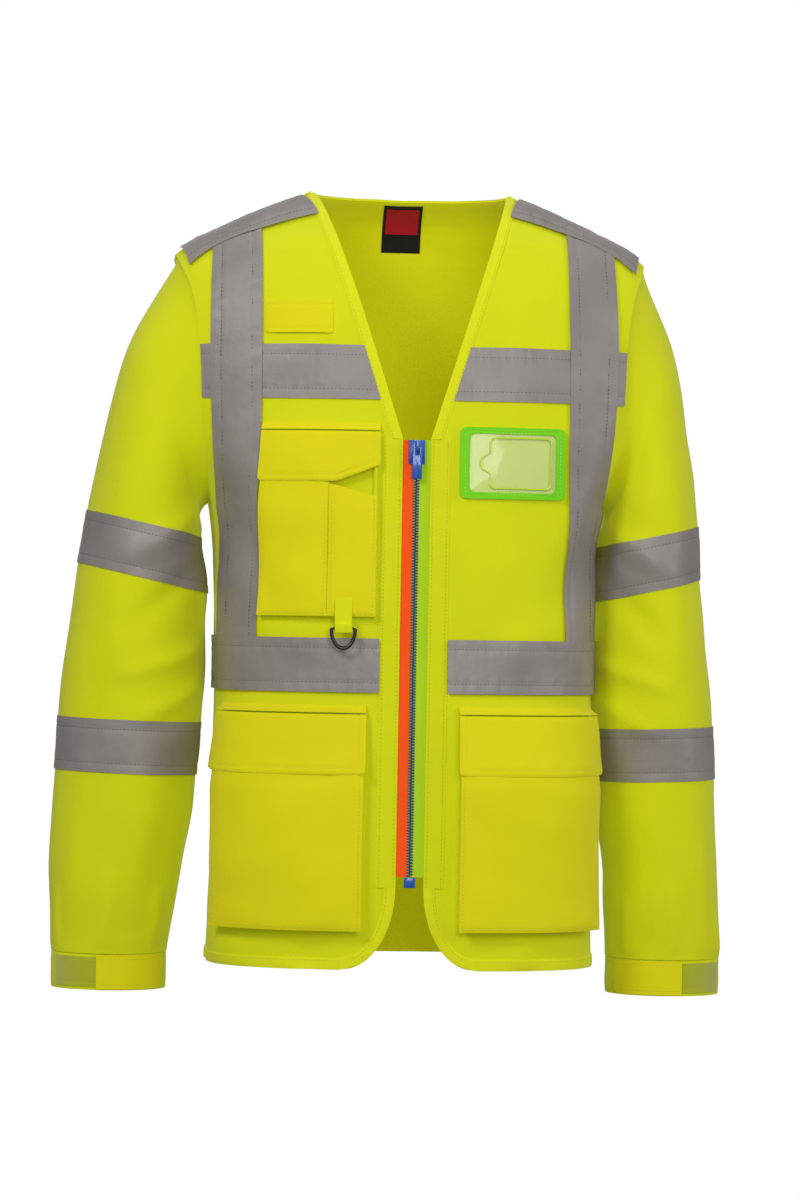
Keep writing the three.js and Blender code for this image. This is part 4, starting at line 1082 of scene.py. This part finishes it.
# %% Gusset
def pocket_gusset(bag, node):
    """The gusset goes down one side, along the bottom and up the other, folded like a bellows."""
    x0, x1, top, bottom = bag.x0, bag.x1, bag.top, bag.bottom
    tall, turn = top - bottom, 4 * MM
    corner = np.linspace(0, math.pi / 2, 5)[1:]
    path = [(x0, top - d) for d in np.linspace(3 * MM, tall - turn, 40)]
    path += [(x0 + turn - turn * math.cos(a), bottom + turn - turn * math.sin(a)) for a in corner]
    path += [(x, bottom) for x in np.linspace(x0 + turn, x1 - turn, 30)[1:]]
    path += [(x1 - turn + turn * math.sin(a), bottom + turn - turn * math.cos(a)) for a in corner]
    path += [(x1, top - d) for d in np.linspace(tall - turn, 3 * MM, 40)[1:]]
    path = np.array(path)
    ahead = np.gradient(path, axis=0)
    inward = np.stack([-ahead[:, 1], ahead[:, 0]], axis=1)
    inward /= np.linalg.norm(inward, axis=1, keepdims=True)
    up = np.linspace(0, 1, 10)[:, None]
    fold = 0.6 * MM + 2.4 * MM * np.abs(np.sin(math.pi * up)) ** 0.8
    grids = []
    for extra in (0, WALL):
        x = path[None, :, 0] + inward[None, :, 0] * (fold + extra)
        z = path[None, :, 1] + inward[None, :, 1] * (fold + extra)
        lift = 0.4 * MM + (stand_off(bag, z) - 1.8 * MM) * (up + 0 * x)
        grids.append(on_body(side_angle(bag.side, front_angle(x, z)), z, lift))
    finish_piece(f"{node}_cloth", cloth_mesh(node, *grids), shell_cloth, "shell_fabric", "torso",
                 [node])

# %% Flap and strip
SLANT_SHARE, SLANT_RISE = 0.36, 15 * MM     # the cut-off corner of the chest pocket's flap
STRIP_TALL = 8 * MM


def slanted(share):
    return SLANT_RISE * np.clip(1 - share / SLANT_SHARE, 0, 1)


def pocket_flap(bag, node, body, length, slant):
    """The flap that hinges at the mouth and covers the wall's top."""
    wide = bag.x1 - bag.x0
    low, left, right = bag.top - length, bag.x0 - FLAP_OVER, bag.x1 + FLAP_OVER

    def lift(s, d, z):
        edge = np.minimum(np.minimum(s, 1 - s) * (wide + 2 * FLAP_OVER), (1 - d) * length)
        rounding = -0.9 * MM * np.clip(1 - edge / (2.5 * MM), 0, 1) ** 2
        bow = 1.0 * MM * np.sin(math.pi * s) * d
        wave = 0.6 * MM * d * waves(s * wide, z, 71 + bag.side, 45 * MM)
        top_edge = -0.7 * MM * np.exp(-d * length / (1.5 * MM))    # room to hinge under the strip
        rise = stand_off(bag, z) + 1.2 * MM + top_edge
        return rise + rounding + bow + wave + seam_pinch(edge, 6 * MM, 0.45 * MM)

    flat_patch(f"{node}_cloth", bag.side, left, right, bag.top - 0.3 * MM, low, lift, 1.4 * MM,
               (flap_cloth, "flap_fabric", body, [node]), radius=(0, 5 * MM), slant=slant)
    i, rise = 6 * MM, SLANT_RISE if slant else 0
    kink = left + SLANT_SHARE * (wide + 2 * FLAP_OVER)
    patch_stitches(body, bag.side, [(left + i, bag.top), (left + i, low + i + rise),
                                    (kink + 2 * MM, low + i), (right - i, low + i),
                                    (right - i, bag.top)], (left, right, bag.top, low), lift)


def pocket_strip(bag, node):
    """The strip sewn to the panel above the mouth, from which the flap hangs."""
    def lift(s, d, z):
        groove = seam_pinch((1 - d) * STRIP_TALL, STRIP_TALL / 2, 0.3 * MM)
        return 1.5 * MM + (bag.shallow - 1.3 * MM) * d ** 1.5 + groove

    high, seam_z = bag.top + STRIP_TALL, bag.top + STRIP_TALL / 2
    flat_patch(f"{node}_cloth", bag.side, bag.x0 - FLAP_OVER, bag.x1 + FLAP_OVER, high,
               bag.top + 1.2 * MM, lift, 1.0 * MM, (flap_cloth, "flap_fabric", "torso", [node]),
               rows=12)
    patch_stitches("torso", bag.side, [(bag.x0, seam_z), (bag.x1, seam_z)],
                   (bag.x0, bag.x1, high, bag.top), lift)

# %% The three pockets
OUTER_X = {"lower": 170 * MM, "chest": 140 * MM}
MOUTH_RISE = 3 * MM                         # from a wall's top edge to the mouth
EVEN = (MOUTH_RISE, MOUTH_RISE)
for name, side in SIDES:
    node = f"lower_pocket_wall_{name}"
    wall_low, wall_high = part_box(node)
    inner = min(abs(wall_low.x), abs(wall_high.x))
    bag = Bag(side, inner, OUTER_X["lower"], wall_high.z + MOUTH_RISE, wall_low.z, 8 * MM, 16 * MM)
    pocket_wall(bag, node, inner, bag.x1, EVEN, flap_cloth, "flap_fabric")
    pocket_gusset(bag, f"lower_pocket_gusset_{name}")
    pocket_flap(bag, f"lower_pocket_flap_{name}", f"lower_flap_{name}", 56 * MM, None)
    pocket_strip(bag, f"lower_flap_strip_{name}")

wall_low, wall_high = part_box("chest_pocket_wall")
divide = 80 * MM                            # where the pen pocket meets the plain wall
bag = Bag(-1, 36 * MM, OUTER_X["chest"], wall_high.z + MOUTH_RISE, wall_low.z, 6 * MM, 10 * MM)
pocket_wall(bag, "chest_pocket_wall", divide + 0.3 * MM, bag.x1, EVEN, flap_cloth, "shell_fabric")
pocket_wall(bag, "pen_pocket_wall", bag.x0, divide, (60 * MM, 48 * MM), flap_cloth, "flap_fabric")
pocket_gusset(bag, "chest_pocket_gusset")
pocket_flap(bag, "chest_pocket_flap", "chest_flap", 46 * MM, slanted)
pocket_strip(bag, "chest_flap_strip")
print("pockets done")

# %% [markdown]
# ## Document holder
# A clear vinyl window lies on a yellow-green backing, under a green border sewn all round. The
# border is a ring between two rounded outlines. The weld line on the window is a second, thinner
# ring, with a half-round bay on one side for the thumb that pushes the card out.
# %% Document holder and radio tab
vinyl, vinyl_tree, vinyl_shader = new_material("clear PVC film", 0.06, IOR=1.53,
                                               Transmission_Weight=0.0, Alpha=0.16, Coat_Weight=0.6)
vinyl_shader.inputs["Base Color"].default_value = colour("#F4FFF0")
ripple = add_node(vinyl_tree, "ShaderNodeTexNoise", {"Scale": 38.0, "Detail": 2.0},
                  {"Vector": add_node(vinyl_tree, "ShaderNodeTexCoord").outputs["Object"]})
vinyl_bump = add_node(vinyl_tree, "ShaderNodeBump", {"Strength": 0.5, "Distance": 2 * MM},
                      {"Height": ripple.outputs["Fac"]})
vinyl_tree.links.new(vinyl_bump.outputs[0], vinyl_shader.inputs["Normal"])
weld_vinyl, _, weld_shader = new_material("welded PVC edge", 0.12, IOR=1.53, Coat_Weight=0.7,
                                          Alpha=0.8)
weld_shader.inputs["Base Color"].default_value = colour("#D8F23C")
green_cloth = woven("vivid green polyester binding", "#86E81C", "#6FD612", 0.9 * MM)
backing_cloth = woven("yellow green backing", "#DDEE10", "#CFE204", 0.9 * MM)

holder_low, holder_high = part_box("id_holder_frame")
hx0, hx1 = holder_low.x, holder_high.x
hz1, hz0 = holder_low.z, holder_high.z
flat_patch("id_holder_back_cloth", 1, hx0, hx1, hz0, hz1, 1.2 * MM, 0.6 * MM,
           (backing_cloth, "id_border", "torso", ["id_holder_back"]), radius=(6 * MM, 6 * MM))
flat_patch("id_holder_window_film", 1, hx0 + 3 * MM, hx1 - 3 * MM, hz0 - 3 * MM, hz1 + 3 * MM,
           lambda s, d, z: 2.0 * MM + 0.8 * MM * np.sin(math.pi * s) * np.sin(math.pi * d),
           0.4 * MM, (vinyl, "id_window", "torso", ["id_holder_window"]), radius=(4 * MM, 4 * MM))


def holder_outline(inner, outer, rim, *more):
    """A rounded outline set in from the holder's inner side, outer side, and top and bottom."""
    return rounded_outline(hx0 + inner * MM, hx1 - outer * MM, hz0 - rim * MM, hz1 + rim * MM,
                           *more)


def border_ring(name, outline_out, outline_in, rows, lift_of, thick):
    """A flat ring between two outlines; lift_of gets each point and its share of the width."""
    share = np.linspace(0, 1, rows)[:, None]
    xz = outline_out[None] + (outline_in - outline_out)[None] * share[..., None]
    lift = lift_of(xz, share)
    angle = front_angle(xz[..., 0], xz[..., 1])
    return cloth_mesh(name, on_body(angle, xz[..., 1], lift),
                      on_body(angle, xz[..., 1], lift - thick), ring=True)


def rounded_outline(x0, x1, z0, z1, radius, count, notch=0.0):
    """count points round a rounded rectangle, from the middle of its inner side.

    notch is the radius of a half round that bulges out of that side."""
    centres = ((x0, z1, 1, 1), (x1, z1, -1, 1), (x1, z0, -1, -1), (x0, z0, 1, -1))
    starts = (math.pi, 1.5 * math.pi, 0, 0.5 * math.pi)
    dense = [(x0, (z0 + z1) / 2)]
    for (cx, cz, sx, sz), begin in zip(centres, starts):
        for k in range(9):
            a = begin + k / 8 * math.pi / 2
            dense.append((cx + sx * radius + radius * math.cos(a),
                          cz + sz * radius + radius * math.sin(a)))
    dense.append(dense[0])
    dense = np.array(dense)
    length = np.concatenate([[0], np.cumsum(np.linalg.norm(np.diff(dense, axis=0), axis=1))])
    want = np.linspace(0, length[-1], count, endpoint=False)
    points = np.stack([np.interp(want, length, dense[:, n]) for n in (0, 1)], axis=1)
    if notch:
        off = points[:, 1] - (z0 + z1) / 2
        near = (np.abs(off) < notch) & (points[:, 0] < x0 + 1 * MM)
        points[:, 0] -= np.where(near, np.sqrt(np.maximum(notch ** 2 - off ** 2, 0)), 0)
    return points


AROUND = 160
outline = holder_outline(0, 0, 0, 6 * MM, AROUND)


def border_lift(xz, share):
    to_edge = np.linalg.norm(xz - outline[None], axis=-1)
    return 2.9 * MM + 0 * to_edge + seam_pinch(to_edge, 5 * MM, 0.4 * MM, 0.9 * MM)


border = border_ring("border", outline, holder_outline(9, 9, 6, 5 * MM, AROUND), 12, border_lift,
                     0.7 * MM)
sewn = holder_outline(5, 5, 5, 3 * MM, 200)
body_stitches("torso", "lime", front_angle(sewn[:, 0], sewn[:, 1]), sewn[:, 1], 2.6 * MM)
finish_piece("id_holder_border_cloth", border, green_cloth, "id_border", "torso",
             ["id_holder_frame"])

# the weld round the clear window, with the bay for the thumb
weld = border_ring("weld", holder_outline(27, 13, 9, 5 * MM, AROUND, 9 * MM),
                   holder_outline(28.6, 14.6, 10.6, 4 * MM, AROUND, 8 * MM), 5,
                   lambda xz, share: 3.2 * MM - 0.5 * MM * (2 * share - 1) ** 2 + 0 * xz[..., 0],
                   0.5 * MM)
finish_piece("id_holder_weld_line", weld, weld_vinyl, "id_window", "torso")
print("document holder is", round(hx1 - hx0, 3), "x", round(hz0 - hz1, 3), "m")

tab_low, tab_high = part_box("mic_tab")
flat_patch("mic_tab_cloth", -1, -tab_high.x, -tab_low.x, tab_high.z, tab_low.z,
           lambda s, d, z: 3.4 * MM - 2.2 * MM * np.abs(2 * s - 1) ** 6
           + seam_pinch(np.minimum(d, 1 - d) * 30 * MM, 4 * MM),
           1.3 * MM, (flap_cloth, "flap_fabric", "torso", ["mic_tab"]), radius=(1.5 * MM, 1.5 * MM))

# %% [markdown]
# ## Neck label
# A plain black woven label without text, with a red panel over most of it, is sewn inside the
# back of the neck.
# %% Label
label_low, label_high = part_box("neck_label")


def label_patch(name, z0, z1, half, back, material, nodes=()):
    x = np.linspace(-half, half, 12)[None, :] + np.zeros((10, 1))
    z = np.linspace(z0, z1, 10)[:, None] + 0 * x
    angle = np.arctan2(side_y(x, z, True), x)
    mesh = cloth_mesh(name, on_body(angle, z, back), on_body(angle, z, back + 0.5 * MM))
    return finish_piece(name, mesh, material, "label", "torso", nodes)


black_satin = woven("black woven satin", "#1A1A1C", "#101012", 0.7 * MM, 0.3, 0.1)
red_satin = woven("red woven satin", "#C3122E", "#A80E26", 0.7 * MM, 0.3, 0.1)
label_patch("neck_label_cloth", label_high.z, label_low.z, label_high.x, -2.5 * MM, black_satin,
            ["neck_label"])
label_patch("neck_label_panel_cloth", label_high.z - 3 * MM, label_high.z - 26 * MM,
            label_high.x - 3 * MM, -3.1 * MM, red_satin)
print("small pieces done")

# %% [markdown]
# ## Zip, slider and ring
# The zip has a tape on each side, orange on the wearer's right and lime on the left, and moulded
# teeth between. The slider, pull and end box are mouldings, so their frame shapes are kept and
# only their edges are rounded.
# %% Hardware
# the orange tape's glow is an emission, painted light that brightens it in shade
orange_tape = woven("orange zip tape", "#FF5A0C", "#F44A02", 0.9 * MM, painted_glow=0.1)
lime_tape = woven("lime zip tape", "#BEE41C", "#AAD610", 0.9 * MM)
teeth_plastic, _, teeth_shader = new_material("moulded polyacetal teeth", 0.32, Coat_Weight=0.2)
teeth_shader.inputs["Base Color"].default_value = colour("#12507E")
blue_enamel, _, enamel_shader = new_material("royal blue enamel", 0.28, Coat_Weight=0.5)
enamel_shader.inputs["Base Color"].default_value = colour("#0A55B4")
acetal, _, acetal_shader = new_material("black acetal", 0.34, Coat_Weight=0.15)
acetal_shader.inputs["Base Color"].default_value = colour("#16161A")

for name, side, cloth, slot in (("right", -1, orange_tape, "zip_tape_orange"),
                                ("left", 1, lime_tape, "zip_tape_lime")):
    tape_low, tape_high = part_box(f"zip_tape_{name}")
    inner_x, outer_x = sorted((abs(tape_low.x), abs(tape_high.x)))
    flat_patch(f"zip_tape_cloth_{name}", side, inner_x - 1.3 * MM, outer_x, tape_high.z,
               tape_low.z, -0.45 * MM, 0.6 * MM, (cloth, slot, "torso", [f"zip_tape_{name}"]),
               columns=8, rows=120)


def softened(node, width, material, slot, body):
    """The frame's own moulding with its edges rounded."""
    bm = bmesh.new()
    bm.from_mesh(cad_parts[node].data)
    bmesh.ops.remove_doubles(bm, verts=bm.verts, dist=1e-6)
    bmesh.ops.dissolve_limit(bm, angle_limit=0.03, verts=bm.verts, edges=bm.edges)
    sharp = [e for e in bm.edges if len(e.link_faces) == 2 and e.calc_face_angle(0) > 0.6]
    bmesh.ops.bevel(bm, geom=sharp, offset=width, segments=2, profile=0.5, affect="EDGES",
                    clamp_overlap=True)
    uv = bm.loops.layers.uv.get("cloth") or bm.loops.layers.uv.new("cloth")
    for face in bm.faces:
        face.smooth = True
        for loop in face.loops:
            loop[uv].uv = (loop.vert.co.x, loop.vert.co.z)
    for edge in bm.edges:
        edge.smooth = edge.calc_face_angle(0) < 0.9
    bmesh.ops.recalc_face_normals(bm, faces=bm.faces)
    mesh = bpy.data.meshes.new(node)
    bm.to_mesh(mesh)
    bm.free()
    return finish_piece(f"{node}_moulding", mesh, material, slot, body, [node])


softened("zip_bottom_box", 0.7 * MM, blue_enamel, "zip_hardware", "torso")
softened("zip_slider", 0.45 * MM, blue_enamel, "zip_hardware", "zip_slider")
softened("zip_pull", 0.4 * MM, blue_enamel, "zip_hardware", "zip_pull")
softened("d_ring_webbing", 0.35 * MM, shell_cloth, "shell_fabric", "torso")

ring_low, ring_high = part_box("d_ring")
ring_x, ring_y = (ring_low.x + ring_high.x) / 2, (ring_low.y + ring_high.y) / 2
RING_STEPS, WIRE_STEPS = 72, 16
wire = 1.8 * MM                             # half the thickness of the ring
bar_crown = 1.5 * MM                        # how far the straight bar bulges upwards
ring_bar_z = ring_high.z - wire - bar_crown
ring_half = (ring_high.x - ring_low.x) / 2 - wire
ring_drop = ring_bar_z - ring_low.z - wire
a = np.linspace(0, 2 * math.pi, RING_STEPS, endpoint=False)[None, :]
b = np.linspace(0, 2 * math.pi, WIRE_STEPS, endpoint=False)[:, None]
tall = np.where(np.sin(a) < 0, ring_drop, bar_crown)
ring_points = np.stack([ring_x + (ring_half + wire * np.cos(b)) * np.cos(a),
                        ring_y + wire * np.sin(b) + 0 * a,
                        ring_bar_z + (tall + wire * np.cos(b)) * np.sin(a)], axis=-1)
bm = bmesh.new()
grid = [[bm.verts.new(p) for p in row] for row in ring_points]
for j in range(WIRE_STEPS):
    row, below = grid[j], grid[(j + 1) % WIRE_STEPS]
    for i in range(RING_STEPS):
        ahead = (i + 1) % RING_STEPS
        bm.faces.new([row[i], row[ahead], below[ahead], below[i]]).smooth = True
bmesh.ops.recalc_face_normals(bm, faces=bm.faces)
ring_mesh = bpy.data.meshes.new("d ring")
bm.to_mesh(ring_mesh)
bm.free()
finish_piece("d_ring_moulding", ring_mesh, acetal, "d_ring_plastic", "d_ring", ["d_ring"])
print("zip tapes, slider, ring done")

# %% [markdown]
# ## Teeth and stitches with Geometry Nodes
# Hundreds of equal small shapes are best placed by a node group: a rounded bead is set on each
# point, turned by two named attributes and scaled. The result is turned to a plain mesh, one
# for each body, and the modifier goes.
# %% Repeated shapes
def bead_group(name, segments, rings):
    """A node tree that sets a bead on each point, and the identifiers of its two inputs."""
    group = bpy.data.node_groups.new(name, "GeometryNodeTree")
    face = group.interface
    face.new_socket("Geometry", in_out="INPUT", socket_type="NodeSocketGeometry")
    size = face.new_socket("Size", in_out="INPUT", socket_type="NodeSocketVector").identifier
    finish = face.new_socket("Finish", in_out="INPUT", socket_type="NodeSocketMaterial").identifier
    face.new_socket("Geometry", in_out="OUTPUT", socket_type="NodeSocketGeometry")
    source = group.nodes.new("NodeGroupInput")
    ways = []
    for label in ("ahead", "out"):
        node = add_node(group, "GeometryNodeInputNamedAttribute", {"data_type": "FLOAT_VECTOR"})
        node.inputs["Name"].default_value = label
        ways.append(node.outputs["Attribute"])
    turn = add_node(group, "FunctionNodeAxesToRotation",
                    {"primary_axis": "X", "secondary_axis": "Z"})
    group.links.new(ways[0], turn.inputs[0])
    group.links.new(ways[1], turn.inputs[1])
    bead = add_node(group, "GeometryNodeMeshUVSphere",
                    {"Segments": segments, "Rings": rings, "Radius": 0.5})
    place = add_node(group, "GeometryNodeInstanceOnPoints", None, {
        "Points": source.outputs[0], "Instance": bead.outputs[0], "Rotation": turn.outputs[0],
        "Scale": source.outputs[1]})
    real = add_node(group, "GeometryNodeRealizeInstances", None, {0: place.outputs[0]})
    smooth = add_node(group, "GeometryNodeSetShadeSmooth", None, {0: real.outputs[0]})
    dress = add_node(group, "GeometryNodeSetMaterial", None,
                     {"Geometry": smooth.outputs[0], "Material": source.outputs[2]})
    out = group.nodes.new("NodeGroupOutput")
    group.links.new(dress.outputs[0], out.inputs[0])
    return group, size, finish


def beads(name, group, points, ahead, out, size, material):
    """A plain mesh of one bead for each point."""
    cloud = bpy.data.meshes.new(name)
    cloud.from_pydata(points.tolist(), [], [])
    for label, values in (("ahead", ahead), ("out", out)):
        layer = cloud.attributes.new(label, "FLOAT_VECTOR", "POINT")
        layer.data.foreach_set("vector", np.ascontiguousarray(values, dtype=np.float32).ravel())
    holder = link(bpy.data.objects.new(name, cloud))
    modifier = holder.modifiers.new("beads", "NODES")
    modifier.node_group = group[0]
    modifier[group[1]] = size
    modifier[group[2]] = material
    bpy.context.view_layer.update()
    evaluated = holder.evaluated_get(bpy.context.evaluated_depsgraph_get())
    mesh = bpy.data.meshes.new_from_object(evaluated)
    holder.modifiers.clear()
    bpy.data.objects.remove(holder)
    mesh.materials.clear()
    return mesh


tooth_group = bead_group("tooth", 8, 5)
stitch_group = bead_group("stitch", 6, 4)
TOOTH = (4.4 * MM, 1.9 * MM, 2.7 * MM)              # along x, up and out
STITCH = (2.6 * MM, 0.7 * MM, 0.6 * MM)             # along the seam, across it and out
PITCH = 2.6 * MM
teeth_low, teeth_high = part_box("zip_teeth_left")
for name, side in SIDES:
    z = np.arange(teeth_low.z + PITCH / 2, teeth_high.z, PITCH)
    z = z + (PITCH / 2 if side > 0 else 0)
    z = z[z < teeth_high.z - 0.5 * MM]
    points = np.stack([side * 1.25 * MM + 0 * z, teeth_low.y + 1.2 * MM + 0 * z, z], axis=1)
    mesh = beads("teeth", tooth_group, points, np.tile([1.0, 0, 0], (len(z), 1)),
                 np.tile([0.0, -1, 0], (len(z), 1)), TOOTH, teeth_plastic)
    finish_piece(f"zip_teeth_moulding_{name}", mesh, teeth_plastic, "zip_teeth", "torso",
                 [f"zip_teeth_{name}"])

THREADS = {"yellow": ("yellow polyester thread", "#D6D41C", "shell_fabric"),
           "grey": ("grey polyester thread", "#625D59", "reflective_tape"),
           "lime": ("lime polyester thread", "#C8F07A", "id_border")}
thread_materials = {}
for key, (label, code, slot) in THREADS.items():
    thread_materials[key], _, shader = new_material(label, 0.6)
    shader.inputs["Base Color"].default_value = colour(code)
total = 0
for (body, thread), parts in stitch_lines.items():
    points, ahead, out = (np.concatenate([part[k] for part in parts]) for k in range(3))
    total += len(points)
    mesh = beads("stitches", stitch_group, points, ahead, out, STITCH, thread_materials[thread])
    finish_piece(f"stitches_{thread}_{body}", mesh, thread_materials[thread], THREADS[thread][2],
                 body)
print("stitches", total)

# %% [markdown]
# ## Light and camera
# Five soft lights in front of a white backdrop, as in a product studio. The camera has a long lens
# and stands a few degrees round to the wearer's right, at the height of the chest.
# %% Studio
middle = (cad_low + cad_high) / 2


def area_light(name, place, size, power):
    data = bpy.data.lights.new(name, "AREA")
    data.shape = "RECTANGLE"
    data.size, data.size_y = size
    data.energy = power
    light = link(bpy.data.objects.new(name, data))
    light.location = place
    light.rotation_euler = (middle - Vector(place)).to_track_quat("-Z", "Y").to_euler()


area_light("key", (-1.5, -2.0, 1.1), (0.8, 0.8), 25)
area_light("front", (0.25, -2.9, 0.3), (1.1, 1.1), 26)
area_light("side", (2.3, -0.9, 0.2), (0.8, 1.4), 12)
area_light("top", (0.0, 0.2, 1.9), (1.4, 1.0), 10)
area_light("back", (0.0, 2.6, 0.3), (2.0, 1.6), 18)

world = bpy.data.worlds.new("studio")
bpy.context.scene.world = world
world.use_nodes = True
backdrop = world.node_tree.nodes["Background"]
backdrop.inputs[0].default_value = (1, 1, 1, 1)
AMBIENT = 0.26                      # how strongly the white backdrop lights the cloth
seen = add_node(world.node_tree, "ShaderNodeLightPath").outputs["Is Camera Ray"]
level = add_node(world.node_tree, "ShaderNodeMapRange", {"To Min": AMBIENT, "To Max": 1.0},
                 {"Value": seen})
world.node_tree.links.new(level.outputs[0], backdrop.inputs[1])

bpy.context.scene.view_settings.view_transform = "Standard"

CAMERA_TURN = math.radians(-4.5)
CAMERA_ROLL = math.radians(1.0)
CAMERA_DISTANCE = 4.4
camera_data = bpy.data.cameras.new("camera")
camera = link(bpy.data.objects.new("camera", camera_data))
bpy.context.scene.camera = camera
VIEW_HEIGHT = 1.1424                # metres that the camera takes in at the jacket, top to bottom
SENSOR = 36                         # mm, along the long side of the view
camera_data.sensor_width = SENSOR
camera_data.lens = SENSOR * CAMERA_DISTANCE / VIEW_HEIGHT
look_at = Vector((-0.003, 0, -0.386))
away = Vector((math.sin(CAMERA_TURN), -math.cos(CAMERA_TURN), 0.0))
camera.location = look_at + away * CAMERA_DISTANCE
facing = (-away).to_track_quat("-Z", "Y").to_matrix().to_4x4()
camera.rotation_euler = (facing @ Matrix.Rotation(CAMERA_ROLL, 4, "Z")).to_euler()
print("lens", round(camera_data.lens, 1), "mm")
